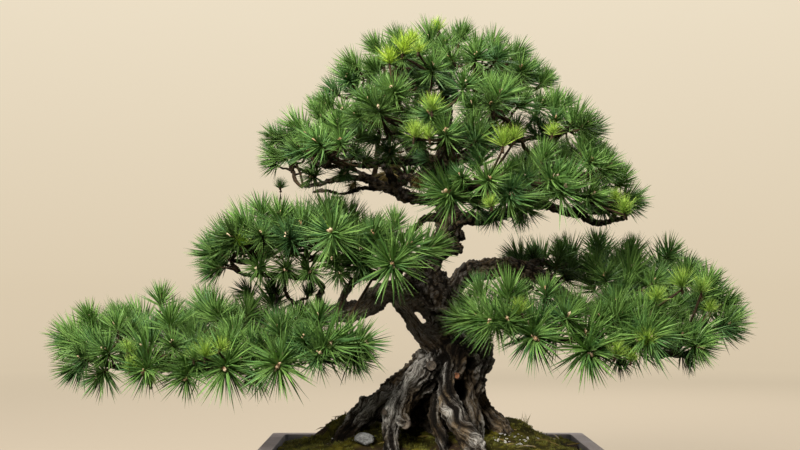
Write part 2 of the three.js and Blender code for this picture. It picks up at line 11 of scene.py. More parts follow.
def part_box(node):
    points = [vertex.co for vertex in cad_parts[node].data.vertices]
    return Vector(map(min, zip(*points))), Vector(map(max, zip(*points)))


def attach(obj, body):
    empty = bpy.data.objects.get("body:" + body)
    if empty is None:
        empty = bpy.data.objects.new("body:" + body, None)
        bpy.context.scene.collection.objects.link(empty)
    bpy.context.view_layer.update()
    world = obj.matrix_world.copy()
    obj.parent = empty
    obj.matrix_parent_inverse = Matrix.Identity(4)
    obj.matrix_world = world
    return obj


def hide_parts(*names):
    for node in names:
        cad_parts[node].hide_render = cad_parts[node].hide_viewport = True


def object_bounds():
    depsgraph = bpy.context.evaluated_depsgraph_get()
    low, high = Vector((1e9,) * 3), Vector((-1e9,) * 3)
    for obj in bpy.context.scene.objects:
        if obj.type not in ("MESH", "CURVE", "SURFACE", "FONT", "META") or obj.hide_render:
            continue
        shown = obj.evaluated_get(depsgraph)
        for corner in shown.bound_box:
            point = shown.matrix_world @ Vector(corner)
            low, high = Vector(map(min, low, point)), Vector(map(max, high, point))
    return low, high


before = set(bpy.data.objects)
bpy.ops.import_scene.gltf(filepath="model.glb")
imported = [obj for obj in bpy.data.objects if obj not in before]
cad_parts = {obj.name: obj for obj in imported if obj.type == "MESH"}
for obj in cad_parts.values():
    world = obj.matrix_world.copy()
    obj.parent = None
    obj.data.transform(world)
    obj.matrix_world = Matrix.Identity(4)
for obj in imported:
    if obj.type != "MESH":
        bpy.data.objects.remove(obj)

CAD_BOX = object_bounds()
MM = 0.001
POT_MIDDLE = sum((Vector(corner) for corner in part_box("pot")), Vector()) / 2

# The wood's routes: each is a list of (x, y, z, radius), from where it grows to its tip

TRUNK = [
    [10, 18, 62, 36], [12, 18, 86, 39], [14, 18, 115, 39], [18, 10, 150, 43], [26, 2, 184, 45],
    [37, 0, 208, 42], [34, -2, 235, 30], [12, -2, 262, 27.5], [-3, 0, 285, 29], [-6, 0, 305, 20],
    [4, 2, 323, 17], [21, 4, 345, 16.5], [25, 5, 364, 15], [21, 6, 390, 13], [18, 5, 420, 11.5],
    [18, 4, 450, 9.6], [21, 3, 482, 7.8], [19, 2, 516, 6.2], [13, 1, 546, 4.6], [9, 0, 570, 3],
]
STRAND = [
    [-34, -4, 286, 10], [-36, -8, 266, 9], [-29, -10, 250, 8.6], [-18, -12, 232, 9], [-5, -12, 212, 11],
    [9, -10, 190, 15],
]
# Short bridges of wood that narrow the window beside the strand, and the window's middle and size
BRIDGES = [
    [[-30, -6, 264, 9], [-12, -5, 263, 12], [6, -4, 266, 14]],
    [[-14, -10, 228, 9], [1, -8, 228, 12], [18, -6, 224, 16]],
]
WINDOW = ((-14, -8, 245), 11)
ROOTS = [
    [[2, -8, 183, 22], [-29, -10, 162, 20], [-54, -12, 143, 18], [-78, -14, 131, 16], [-97, -18, 110, 12],
        [-113, -24, 92, 9], [-128, -30, 76, 6]],
    [[-2, -30, 182, 18], [-23, -44, 160, 17], [-41, -52, 134, 15], [-48, -58, 109, 11.5],
        [-48, -62, 88, 10], [-48, -62, 70, 8]],
    [[10, -34, 152, 13], [6, -46, 126, 9], [12, -52, 104, 8], [18, -57, 80, 6]],
    [[26, -30, 192, 12], [19, -44, 170, 10], [18, -52, 153, 11.5], [26, -60, 136, 13.5], [35, -67, 117, 14],
        [48, -77, 98, 14], [57, -85, 82, 11], [63, -90, 66, 7]],
    [[58, -8, 198, 21], [48, -14, 170, 17], [45, -20, 145, 15], [50, -26, 120, 13], [57, -32, 92, 10]],
    [[44, 10, 158, 20], [58, 10, 134, 17], [73, 6, 118, 14], [87, 2, 104, 12.5], [98, 0, 86, 9]],
    [[0, 24, 152, 22], [-22, 55, 120, 15], [-45, 85, 98, 9], [-60, 104, 80, 5]],
    [[35, 26, 152, 20], [55, 58, 118, 13], [78, 86, 96, 8], [92, 102, 78, 5]],
    [[-10, 10, 145, 22], [-48, 24, 120, 15], [-82, 38, 104, 9], [-106, 48, 88, 5]],
]
STUBS = [
    [[6, -24, 190, 9.5], [0, -56, 189, 8]],
    [[-42, -52, 128, 9], [-30, -73, 121, 7]],
    [[14, 0, 332, 9], [43, -4, 329, 6.5]],
    [[18, 2, 350, 8], [45, 0, 347, 5.5]],
]
BRANCHES = {
    "leftLow": [[2, 0, 285, 21], [-32, -2, 281, 15], [-54, -6, 277, 12.5], [-84, -12, 255, 11],
        [-112, -18, 250, 9.5], [-138, -22, 246, 8.5], [-152, -24, 230, 8], [-182, -26, 205, 7.4],
        [-232, -22, 190, 6.6], [-288, -14, 183, 5.8], [-348, -8, 182, 5], [-404, -4, 186, 4.2],
        [-426, -2, 197, 3.2]],
    "leftLowBack": [[-160, -24, 222, 6.5], [-196, 20, 212, 5], [-250, 60, 206, 4.2], [-310, 78, 206, 3.4],
        [-358, 76, 214, 2.8]],
    "leftLowTop": [[-288, -14, 184, 4.6], [-312, 8, 206, 3.8], [-344, 22, 226, 3]],
    "leftMiddle": [[-130, -20, 248, 6], [-139, -14, 268, 5], [-135, -10, 284, 4.6], [-149, -10, 294, 4.2],
        [-187, -8, 295, 3.8], [-232, -4, 296, 3.2]],
    "leftMiddleLoop": [[-140, -20, 252, 4], [-160, -19, 257, 3.2], [-174, -15, 268, 2.8],
        [-181, -9, 292, 2.6]],
    "leftMiddleFront": [[-112, -18, 250, 6.4], [-104, -32, 274, 5.2], [-88, -48, 292, 4.6],
        [-60, -72, 298, 4], [-34, -88, 300, 3.4]],
    "leftMiddleBack": [[0, 4, 302, 11], [-32, 30, 312, 6.6], [-72, 55, 319, 5.2], [-122, 70, 322, 4.2],
        [-168, 70, 324, 3.2]],
    "leftMiddleTop": [[16, 2, 368, 8], [-6, 4, 367, 4.8], [-18, 8, 358, 4.2], [-32, 14, 347, 3.8],
        [-72, 20, 344, 3.2], [-120, 10, 348, 2.8], [-160, 0, 350, 2.4]],
    "right": [[4, 0, 268, 18], [22, -2, 275, 13.5], [36, -3, 289, 12.5], [48, -4, 300, 12.5],
        [66, -6, 304, 12], [107, -10, 307, 10], [141, -16, 291, 9], [166, -20, 268, 8.4],
        [193, -24, 254, 7.4], [216, -26, 238, 6.4], [250, -26, 212, 5.6], [296, -18, 202, 4.6],
        [330, -6, 205, 3.8], [354, 4, 214, 3]],
    "rightBack": [[102, -8, 306, 7], [126, 20, 312, 5.4], [156, 50, 311, 4.6], [202, 72, 308, 4],
        [255, 80, 304, 3.4], [302, 78, 298, 2.8]],
    "rightMiddle": [[190, -22, 255, 6], [220, 0, 261, 4.8], [262, 12, 262, 4], [310, 22, 260, 3.4],
        [342, 28, 260, 2.8]],
    "rightFront": [[118, -12, 302, 6.6], [106, -45, 272, 5], [92, -76, 252, 4], [78, -92, 242, 3.2]],
    "rightFrontLow": [[168, -20, 268, 6.4], [166, -54, 241, 4.8], [174, -84, 224, 3.8]],
    "rightFrontTip": [[250, -26, 213, 4.8], [241, -60, 206, 3.8], [229, -84, 201, 3]],
    "rightBackLow": [[216, -24, 238, 5.4], [244, 36, 238, 4.2], [268, 82, 240, 3.2], [304, 102, 240, 2.6]],
    "crownLeft": [[-30, -12, 399, 6.4], [-42, -10, 403, 5.8], [-60, -12, 410, 5.2], [-92, -16, 418, 4.4],
        [-126, -14, 412, 3.6], [-158, -6, 408, 3]],
    "crownLeftFront": [[17, 4, 444, 7.5], [-26, -26, 437, 5.4], [-66, -48, 433, 4.6], [-104, -62, 426, 3.8],
        [-138, -66, 430, 3]],
    "crownRight": [[23, 4, 372, 11], [52, -10, 365, 8], [88, -20, 374, 7], [134, -28, 383, 6],
        [170, -30, 372, 5.2], [210, -22, 364, 4.4], [242, -8, 369, 3.4]],
    "crownRightFront": [[88, -20, 374, 5.8], [114, -58, 384, 4.4], [148, -80, 396, 3.6],
        [178, -84, 408, 3]],
    "crownRightHigh": [[18, 4, 432, 8], [56, -14, 453, 6], [68, -22, 481, 4.8], [86, -30, 504, 3.6]],
    "crownFront": [[17, 2, 418, 7.5], [22, -40, 412, 5.2], [34, -84, 402, 4.4], [52, -118, 394, 3.6]],
    "crownFrontHigh": [[20, 2, 468, 6.6], [8, -40, 475, 4.6], [-8, -84, 477, 3.8], [-24, -114, 470, 3]],
    "crownLeftHigh": [[19, 2, 490, 6.2], [-22, -8, 501, 4.6], [-62, -18, 511, 3.8], [-92, -28, 512, 3]],
    "crownLeftBack": [[17, 6, 430, 7.6], [-16, 45, 426, 5.4], [-56, 84, 428, 4.4], [-95, 108, 436, 3.4]],
    "crownBack": [[19, 6, 455, 7], [28, 50, 452, 5], [34, 95, 450, 4.2], [36, 132, 447, 3.2]],
    "crownRightBack": [[21, 4, 398, 8.6], [60, 40, 396, 6], [110, 74, 400, 5], [160, 92, 406, 4],
        [194, 88, 408, 3]],
    "crownRightMiddle": [[20, 3, 462, 6.8], [62, 10, 466, 5], [108, 18, 473, 4.2], [150, 22, 470, 3.4]],
    "crownTopRight": [[19, 2, 512, 5], [50, 8, 523, 4], [80, 16, 528, 3]],
    "crownTopBack": [[20, 2, 500, 5.4], [2, 40, 512, 3.8], [-18, 70, 518, 3]],
}
# Crooked side limbs between the main ones
SIDE_LIMBS = [
    [[17, 2, 394, 9], [-12, -8, 394, 7.2], [-36, -14, 397, 6.6], [-46, -16, 411, 5.8], [-52, -18, 428, 4.8],
        [-68, -20, 438, 4.2], [-96, -26, 444, 3.4]],
    [[16, 0, 430, 8], [-6, -10, 446, 6], [-26, -18, 453, 5], [-40, -22, 468, 3.8], [-62, -30, 480, 3]],
    [[-38, -14, 400, 5], [-62, -18, 405, 3.8], [-84, -20, 402, 3.2], [-110, -18, 398, 2.8],
        [-146, -16, 400, 2.2]],
    [[17, 0, 440, 7], [40, -14, 440, 5], [58, -22, 452, 4.4], [84, -26, 458, 3.6], [112, -40, 470, 2.8]],
    [[20, 0, 470, 6.5], [46, -14, 486, 5], [60, -18, 508, 4], [58, -26, 530, 3]],
    [[23, 0, 400, 8], [48, -20, 404, 5.4], [66, -34, 418, 4.4], [92, -44, 424, 3.6], [116, -60, 436, 2.8]],
    [[134, -28, 383, 4.6], [150, -40, 400, 3.6], [170, -46, 410, 3], [186, -60, 428, 2.4]],
    [[170, -30, 372, 4], [188, -40, 384, 3.2], [208, -44, 392, 2.6]],
    [[-182, -26, 205, 5], [-196, -12, 228, 4], [-190, 6, 250, 3.2], [-196, 24, 270, 2.6]],
    [[-196, -8, 232, 3.4], [-222, 6, 240, 2.8], [-236, 20, 262, 2.2]],
    [[-190, 6, 250, 3], [-172, 18, 258, 2.6], [-158, 26, 270, 2.2]],
    [[-186, 34, 340, 2.8], [-188, 26, 374, 2.2], [-190, 20, 404, 1.8]],
]

# Each pad of foliage has a heart that its sprays grow away from, rings of tufts on a spray, how far shoots
# turn up, how far tufts stand apart, its needles' length, and the middles of its sprays

PADS = {
    "crown": {
        "heart": [20, 10, 395], "rings": 3, "lift": 0.3, "spread": 27, "needle": 37, "sprays": [
            [2, -10, 580], [-42, -68, 546], [54, -60, 554], [-14, 62, 550], [106, 62, 548], [-92, -18, 530],
            [116, -22, 534], [-66, -122, 484], [74, -122, 492], [-66, 96, 492], [-152, -44, 468],
            [-124, -108, 442], [14, -158, 446], [164, -74, 472], [-138, 86, 466], [78, 140, 486],
            [190, 40, 457], [-180, 14, 442], [58, -158, 396], [130, -122, 402], [194, -86, 418],
            [234, -20, 386], [150, 132, 424], [-24, 164, 434],
        ],
    },
    "left_middle": {
        "heart": [-125, 0, 285], "rings": 2, "lift": 0.35, "spread": 32, "needle": 46, "sprays": [
            [-250, 0, 317], [-212, -56, 340], [-150, -66, 339], [-148, 34, 347], [-90, -96, 312],
            [-38, -112, 319], [-86, 44, 340], [-186, 88, 332],
        ],
    },
    "left_low": {
        "heart": [-235, -5, 160], "rings": 2, "lift": 0.3, "spread": 33, "needle": 46, "sprays": [
            [-430, 0, 211], [-396, -50, 202], [-362, 34, 230], [-330, -66, 200], [-272, -70, 186],
            [-268, 12, 236], [-216, -60, 200], [-152, -84, 204], [-114, -98, 208], [-300, 96, 214],
            [-190, 90, 222],
        ],
    },
    "right": {
        "heart": [195, 0, 215], "rings": 2, "lift": 0.3, "spread": 33, "needle": 46, "sprays": [
            [66, -116, 240], [122, -112, 232], [178, -108, 222], [226, -104, 214], [250, -60, 244],
            [300, -62, 218], [352, -6, 232], [346, 34, 258], [240, -24, 288], [150, 74, 304],
            [226, 96, 312], [304, 84, 302], [280, 110, 240],
        ],
    },
}

# Sizes are in metres, or in millimetres for stems, soil, moss, grit, grass, stone and camera

WOOD_VOXEL = 0.0016
BRANCH_VOXEL = 0.0022
LIMB_SIDES, TWIG_SIDES = 5, 1
OLD_WOOD_TOP, THICK_LIMB, OLD_PLACES = 352, 12, 8
NEEDLE = {"length": 0.046, "width": 0.00084, "bow": 0.0018}
PAIRS = {"outer": 58, "inner": 38}
# Along a needle, each step's share of its length, its bow to the side and its width beside the last one's
BOWED = ((0.55, 1.0, 1.05), (1.0, 3.2, 0.0))
STRAIGHT = ((1.0, 1.0, 0.0),)
GOLDEN_ANGLE = 2.39996
SHOOT = 0.017
BUD = (0.0025, 0.0058)
BOX_MARGIN = 0.0012
# How wide each kind of tuft opens, and the kinds that suit tufts seen from the side and from their tip
SPREADS = (0.96, 0.78, 1.06, 0.68, 0.88, 1.1)
FANS, STARS = (1, 3, 4, 0), (0, 2, 5)
# The darkest and palest tone of an old tuft, which set its painted shade and light, and a stem's radii: the
# most, and the two at its end
DARKEST, PALEST = 0.08, 0.7
STEM = (3.4, 1.9, 1.6)
# The rings of tufts on a spray: how many, how far aside, back and forward, and their tone: painted shade,
# darker on the inner rings
RINGS = ((5, 1.0, 3, 0.75, 0.46), (6, 0.85, 24, 0.2, 0.18), (4, 0.5, 40, -0.1, 0.08))
SOIL = {"edge": 77, "mound": 38, "reach": 205, "plateau": 70, "front": -125, "front_rise": 170, "back": 145,
        "back_rise": 100}
SOIL_SIZE = {"length": 381, "depth": 260, "foot_length": 364, "foot_depth": 243, "bottom": 26}
POT_INSIDE, POT_EDGE = (0.1935, 0.133), 0.0016
STONE = {"at": (-80, -46, 100), "size": (13.4, 9.5, 7.4)}
MOSS_STEP = 2.2
# Clumps of shoots: how many shoots, their reach, height, width, lean and dryness, and how many clumps of moss
GREEN_CLUMP = (9, 3.2, (1.6, 3.9), 0.55, 0.55, 0.35)
DRY_CLUMP = (9, 3.2, (1.2, 2.6), 0.5, 0.8, 1.0)
GRASS_CLUMP = (18, 6, (10, 22), 0.5, 0.6, 0.5)
CLUMPS = 2100
GREEN_KINDS, DRY_KINDS, DRY_SHARE = 6, 2, 0.12
FALLEN_NEEDLES, GRAINS = 70, 46
# The middles of the grass and of the grit by the roots, and how far that grit is strewn
GRASS, GRIT, GRIT_REACH = (120, 34), (98, -26), 22
CAMERA = {"at": (-37.5, -1500, 271), "lens": 54, "sensor": 36, "tilt": 3.39}

rng = random.Random(4127)


def at(x, y, z):
    """A place given in millimetres from the middle of the pot's underside."""
    return Vector((x * MM + POT_MIDDLE.x, y * MM + POT_MIDDLE.y, z * MM))


def ease(value):
    value = min(max(value, 0.0), 1.0)
    return value * value * (3 - 2 * value)


def blend(low, high, part):
    return low + (high - low) * part


def vary(amount):
    return rng.uniform(-amount, amount)


def drift(place, apart):
    """A slow way to be moved by at a place, with each axis drawn from its own part of the noise."""
    return Vector([noise.noise(place + Vector((axis * apart, 0, 0))) for axis in range(3)])


def away_from(point, place, size):
    """How far a point is from a place, as a share of a size."""
    return (point - Vector(place)).length / size


# Pieces

def piece(name, shape, finish, nodes=(), smooth=True):
    """A finished piece from a mesh or a bmesh: its finish, its body and the nodes it stands for."""
    mesh = to_mesh(shape, name, smooth) if isinstance(shape, bmesh.types.BMesh) else shape
    made = bpy.data.objects.new(name, mesh)
    bpy.context.scene.collection.objects.link(made)
    mesh.materials.clear()
    mesh.materials.append(finish)
    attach(made, "root")
    if nodes:
        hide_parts(*nodes)


def to_mesh(work, name, smooth=True):
    """A bmesh written out as a mesh, shaded smooth or flat."""
    for face in work.faces:
        face.smooth = smooth
    mesh = bpy.data.meshes.new(name)
    work.to_mesh(mesh)
    work.free()
    return mesh


def from_object(data, *modifiers):
    """The mesh of a curve or mesh, after modifiers that are each given as (kind, settings)."""
    holder = bpy.data.objects.new("holder", data)
    bpy.context.scene.collection.objects.link(holder)
    for kind, settings in modifiers:
        modifier = holder.modifiers.new(kind, kind)
        for key, value in settings.items():
            setattr(modifier, key, value)
    mesh = bpy.data.meshes.new_from_object(holder.evaluated_get(bpy.context.evaluated_depsgraph_get()))
    bpy.data.objects.remove(holder)
    return mesh


def tubes(name, lines, resolution):
    """Round limbs with closed ends, as one mesh: each line is a list of (place, radius) in metres."""
    curve = bpy.data.curves.new(name, "CURVE")
    curve.dimensions = "3D"
    curve.bevel_depth = 1.0
    curve.bevel_resolution = resolution
    curve.use_fill_caps = True
    for line in lines:
        path = curve.splines.new("POLY")
        path.points.add(len(line) - 1)
        for point, (place, radius) in zip(path.points, line):
            point.co = (*place, 1.0)
            point.radius = radius
    mesh = from_object(curve)
    bpy.data.curves.remove(curve)
    return mesh


def twig_piece(name, lines, finish):
    """Twigs as one piece."""
    mesh = tubes(name, lines, TWIG_SIDES)
    mesh.shade_smooth()
    piece(name, mesh, finish)


# Finishes

def new_finish(name, roughness, specular=0.35):
    """A material for one finish, with its node tree."""
    material = bpy.data.materials.new(name)
    material.use_nodes = True
    shader = material.node_tree.nodes["Principled BSDF"]
    shader.inputs["Roughness"].default_value = roughness
    shader.inputs["Specular IOR Level"].default_value = specular
    return material, material.node_tree


def add(tree, kind, inputs=None, **settings):
    """A node with its settings, and with each input set to a value or joined to a socket."""
    made = tree.nodes.new(kind)
    for key, value in settings.items():
        setattr(made, key, value)
    for key, value in (inputs or {}).items():
        if isinstance(value, bpy.types.NodeSocket):
            tree.links.new(value, made.inputs[key])
        else:
            made.inputs[key].default_value = value
    return made


def maths(operation, *values):
    """A sum worked out from a socket and other sockets or numbers."""
    tree = values[0].id_data
    return add(tree, "ShaderNodeMath", dict(enumerate(values)), operation=operation).outputs[0]


def mix(factor, first, second):
    """Two colours mixed by a socket, each a colour or a socket."""
    colours = [part if isinstance(part, bpy.types.NodeSocket) else (*part, 1.0) for part in (first, second)]
    inputs = {0: factor, 6: colours[0], 7: colours[1]}
    return add(factor.id_data, "ShaderNodeMix", inputs, data_type="RGBA").outputs[2]


def span(value, low, high, least=0.0, most=1.0):
    """A socket's value moved from one range to another, and held inside it."""
    return add(value.id_data, "ShaderNodeMapRange", {0: value, 1: low, 2: high, 3: least, 4: most}).outputs[0]


def paint(base, colour, value, low=0.0, high=1.0, least=0.0, most=1.0):
    """A colour laid over another: its share goes from least to most as a value goes from low to high."""
    return mix(span(value, low, high, least, most), base, colour)


def grain(tree, scale, detail=4.0, roughness=0.6, where=None, stretch=None):
    """Noise on the piece's own place in the frame, in metres."""
    where = where or add(tree, "ShaderNodeTexCoord").outputs["Object"]
    if stretch:
        where = add(tree, "ShaderNodeMapping", {0: where, 3: stretch}).outputs[0]
    inputs = {"Vector": where, "Scale": scale, "Detail": detail, "Roughness": roughness}
    return add(tree, "ShaderNodeTexNoise", inputs).outputs[0]


def marks(tree, name):
    """A colour attribute split into its three numbers."""
    attribute = add(tree, "ShaderNodeAttribute", attribute_name=name)
    return add(tree, "ShaderNodeSeparateColor", {0: attribute.outputs["Color"]}).outputs


def coated(material, colour, height=None, strength=1.0, distance=0.001):
    """The material with its colour, and with a bump where it has a height."""
    tree = material.node_tree
    shader = tree.nodes["Principled BSDF"]
    tree.links.new(colour, shader.inputs["Base Color"])
    if height is not None:
        made = add(tree, "ShaderNodeBump", {"Height": height, "Strength": strength, "Distance": distance})
        tree.links.new(made.outputs[0], shader.inputs["Normal"])
    return material


def needle_finish():
    """Waxy needles with a pale sheath and tip. Marks hold the way along, a draw and the tuft's tone: its
    painted light and shade, with young shoots at the top of the range and withered needles at the bottom.
    """
    material, tree = new_finish("pine_needles", 0.5, 0.22)
    along, drawn, tone = marks(tree, "tone")
    # Painted shade and painted light: dark shade colours and bright ones, chosen by the tuft's tone below.
    shade = paint((0.007, 0.018, 0.003), (0.036, 0.078, 0.011), drawn)
    bright = paint((0.048, 0.125, 0.022), (0.2, 0.355, 0.08), drawn, 0.1, 0.9)
    green = paint(shade, bright, tone, 0.1, 0.65)
    young = paint(green, mix(drawn, (0.26, 0.42, 0.03), (0.54, 0.68, 0.085)), tone, 0.72, 0.95)
    bluish = paint(young, (0.05, 0.15, 0.06), grain(tree, 22.0, 2.0), 0.52, 0.66, 0.0, 0.55)
    mottled = paint(bluish, (0.13, 0.2, 0.045), grain(tree, 160.0), 0.4, 0.7, 0.0, 0.3)
    tipped = paint(mottled, (0.16, 0.2, 0.05), along, 0.85, 1.0, 0.0, 0.3)
    sheathed = paint(tipped, (0.16, 0.12, 0.05), along, 0.0, 0.14, 0.7, 0.0)
    withered = paint(sheathed, (0.16, 0.115, 0.03), tone, 0.0, 0.05, 1.0, 0.0)
    return coated(material, withered)


def bud_finish():
    """Scaly brown winter buds, paler in patches."""
    material, tree = new_finish("winter_buds", 0.6)
    scales = add(tree, "ShaderNodeTexVoronoi", {"Scale": 900.0}).outputs[0]
    warm = paint((0.55, 0.36, 0.18), (0.27, 0.13, 0.06), scales, 0.1, 0.7)
    pale = paint(warm, (0.68, 0.54, 0.36), grain(tree, 90.0), 0.4, 0.62)
    return coated(material, pale, scales, 0.5, 0.0004)


def twig_finish():
    """Dull, rough bark of young twigs."""
    material, tree = new_finish("twig_bark", 0.9, 0.12)
    rough = grain(tree, 420.0, 6.0, 0.7)
    dark = paint((0.013, 0.0075, 0.004), (0.06, 0.04, 0.024), rough, 0.35, 0.65)
    warm = paint(dark, (0.062, 0.04, 0.019), grain(tree, 60.0), 0.45, 0.65)
    return coated(material, warm, rough, 0.8, 0.0008)


def bark_finish():
    """Old bark. Marks hold the relief, the paleness of bare weathered wood and a draw for each plate. A low
    relief gives painted shade in creases and hollows, a high one a painted highlight on ridges, partly
    silvered wood; the draw is lowered by painted shade in the shaded wood.
    """
    material, tree = new_finish("weathered_bark", 0.85, 0.16)
    relief, pale, plate = marks(tree, "bark")
    fibre = add(tree, "ShaderNodeAttribute", attribute_name="fibre").outputs["Vector"]
    fine = grain(tree, 620.0, 8.0, 0.72)
    streak = grain(tree, 1.25, 7.0, 0.7, where=fibre)
    broad = grain(tree, 0.16, 3.0, where=fibre)
    edges = add(tree, "ShaderNodeTexVoronoi", {"Vector": fibre, "Scale": 0.3, "Randomness": 1.0},
                feature="DISTANCE_TO_EDGE").outputs[0]
    plated = paint((0.03, 0.0195, 0.0095), (0.185, 0.125, 0.06), plate, 0.2, 0.85)
    flecked = paint(plated, (0.21, 0.16, 0.1), streak, 0.55, 0.7, 0.0, 0.6)
    ash = paint((0.17, 0.148, 0.118), (0.46, 0.437, 0.386), broad, 0.36, 0.6)
    grey = paint((0.042, 0.031, 0.019), ash, streak, 0.37, 0.57)
    body = mix(pale, flecked, grey)
    stained = paint(body, (0.056, 0.037, 0.02), grain(tree, 26.0, 3.0), 0.48, 0.62, 0.0, 0.7)
    speckled = paint(stained, (0.018, 0.012, 0.007), fine, 0.4, 0.56, 0.6, 0.0)
    cracked = paint(speckled, (0.007, 0.0045, 0.002), edges, 0.0, 0.11, 0.85, 0.0)
    # Painted shade: the bark darkens to near black where the relief mark is low, in its creases and hollows.
    crease_shaded = paint(cracked, (0.006, 0.0038, 0.0016), relief, 0.34, 0.68, 1.0, 0.0)
    # Painted highlight on ridge tops where the relief is high, partly the silvered wood's own paleness:
    # strongest on pale wood and along the streaks.
    silvered_highlight = maths("MULTIPLY", span(relief, 0.6, 0.9, 0.0, 0.9), span(streak, 0.42, 0.56))
    highlit_crest = mix(maths("MULTIPLY", silvered_highlight, span(pale, 0.0, 1.0, 0.16)), crease_shaded, (0.64, 0.61, 0.545))
    grooves = maths("ADD", streak, span(edges, 0.0, 0.12, 0.0, 0.5))
    return coated(material, highlit_crest, maths("ADD", fine, grooves), 1.0, 0.0022)


def scar_finish():
    """A cut's ringed wood. Marks hold the way out from its middle and how fresh it is."""
    material, tree = new_finish("healed_cuts", 0.8)
    out, fresh = marks(tree, "scar")[:2]
    ring = span(maths("SINE", maths("MULTIPLY", out, 26.0)), -1.0, 1.0)
    old = mix(ring, (0.05, 0.038, 0.025), (0.17, 0.138, 0.1))
    new = mix(ring, (0.2, 0.066, 0.024), (0.3, 0.12, 0.045))
    edge = paint(mix(fresh, old, new), (0.05, 0.036, 0.027), out, 0.8)
    worn = paint(edge, (0.06, 0.045, 0.034), grain(tree, 500.0), 0.45, 0.65, 0.0, 0.8)
    return coated(material, worn, grain(tree, 700.0), 0.6, 0.0006)


def moss_finish():
    """Moss over soil. Marks hold the cushions' height and where soil shows: the height gives painted shade
    low between cushions and yellower tops, partly their own colour and partly painted highlight.
    """
    material, tree = new_finish("moss", 0.95, 0.05)
    height, bare = marks(tree, "moss")[:2]
    fine = grain(tree, 900.0, 6.0, 0.75)
    green = paint((0.01, 0.011, 0.002), (0.1, 0.09, 0.01), fine, 0.36, 0.64)
    yellow = paint(green, (0.15, 0.125, 0.016), grain(tree, 38.0), 0.45, 0.62, 0.0, 0.7)
    # Yellower tops, partly own colour and partly painted highlight; near-black painted shade low between the
    # cushions.
    high = paint(yellow, (0.19, 0.175, 0.03), height, 0.5, 1.0, 0.0, 0.4)
    low = paint(high, (0.008, 0.007, 0.003), height, 0.0, 0.35, 0.85, 0.0)
    earth = paint((0.01, 0.006, 0.004), (0.06, 0.038, 0.022), fine, 0.38, 0.62)
    return coated(material, mix(bare, low, earth), fine, 1.0, 0.0022)


def sprig_finish():
    """Moss shoots and grass. Marks hold the way up, a draw and how dry they are."""
    material, tree = new_finish("moss_sprigs", 0.85, 0.2)
    along, drawn, tone = marks(tree, "tone")
    green = mix(drawn, (0.03, 0.04, 0.006), (0.16, 0.15, 0.022))
    tipped = paint(green, (0.26, 0.24, 0.05), along, 0.3, 1.0, 0.0, 0.5)
    dry = paint(tipped, (0.11, 0.062, 0.026), tone, 0.4, 0.9)
    return coated(material, paint(dry, (0.05, 0.06, 0.012), grain(tree, 120.0), 0.4, 0.7, 0.0, 0.5))


def stone_finish(name, dark, pale):
    """Rough stone from a dark tone to a pale one, with stains."""
    material, tree = new_finish(name, 0.88)
    fine = grain(tree, 500.0, 8.0, 0.7)
    body = paint(dark, pale, fine, 0.35, 0.65)
    stained = paint(body, tuple(0.45 * part for part in dark), grain(tree, 110.0), 0.5, 0.7, 0.0, 0.6)
    return coated(material, stained, fine, 0.8, 0.0012)


def clay_finish():
    """Unglazed grey-brown clay: fine sand, cloudy firing, and a darker, cooler grey inside the rim."""
    material, tree = new_finish("unglazed_clay", 0.72)
    sand = grain(tree, 1400.0, 4.0, 0.7)
    cloud = grain(tree, 14.0, 5.0, 0.55)
    smear = grain(tree, 60.0, 5.0, stretch=(0.3, 1.0, 2.0))
    body = paint((0.165, 0.128, 0.115), (0.24, 0.198, 0.182), cloud, 0.35, 0.65)
    sandy = paint(body, (0.38, 0.33, 0.3), sand, 0.55, 0.72, 0.0, 0.55)
    pitted = paint(sandy, (0.06, 0.05, 0.047), sand, 0.28, 0.42, 0.6, 0.0)
    worn = paint(pitted, (0.3, 0.29, 0.3), smear, 0.52, 0.72, 0.0, 0.4)
    where = add(tree, "ShaderNodeTexCoord").outputs["Object"]
    axes = add(tree, "ShaderNodeSeparateXYZ", {0: where}).outputs
    inside = [span(maths("ABSOLUTE", maths("SUBTRACT", axis, middle)), edge - 0.002, edge, 1.0, 0.0)
              for axis, middle, edge in zip(axes, POT_MIDDLE, POT_INSIDE)]
    # Darker, cooler grey on the faces inside the rim.
    inner_dark = paint((0.028, 0.024, 0.024), (0.085, 0.082, 0.088), cloud, 0.4, 0.6)
    return coated(material, mix(maths("MULTIPLY", *inside), worn, inner_dark), sand, 0.5, 0.0006)


# Curves and frames of the limbs

def curve_point(route, part):
    """A point on the smooth centripetal curve through a route, with its tangent and its radius."""
    points = [Vector(place[:3]) for place in route]
    place = part * (len(points) - 1)
    index = min(int(place), len(points) - 2)
    weight = place - index
    first, second = points[index], points[index + 1]
    before = points[index - 1] if index else first * 2 - second
    after = points[index + 2] if index + 2 < len(points) else second * 2 - first
    near, here, far = (max((b - a).length_squared ** 0.25, 0.01)
                       for a, b in ((before, first), (first, second), (second, after)))
    leave = ((first - before) / near - (second - before) / (near + here) + (second - first) / here) * here
    arrive = ((second - first) / here - (after - first) / (here + far) + (after - second) / far) * here
    square = second * 3 - first * 3 - leave * 2 - arrive
    cube = first * 2 - second * 2 + leave + arrive
    middle = first + leave * weight + square * weight**2 + cube * weight**3
    tangent = leave + square * (2 * weight) + cube * (3 * weight**2)
    return middle, tangent.normalized(), blend(route[index][3], route[index + 1][3], weight)


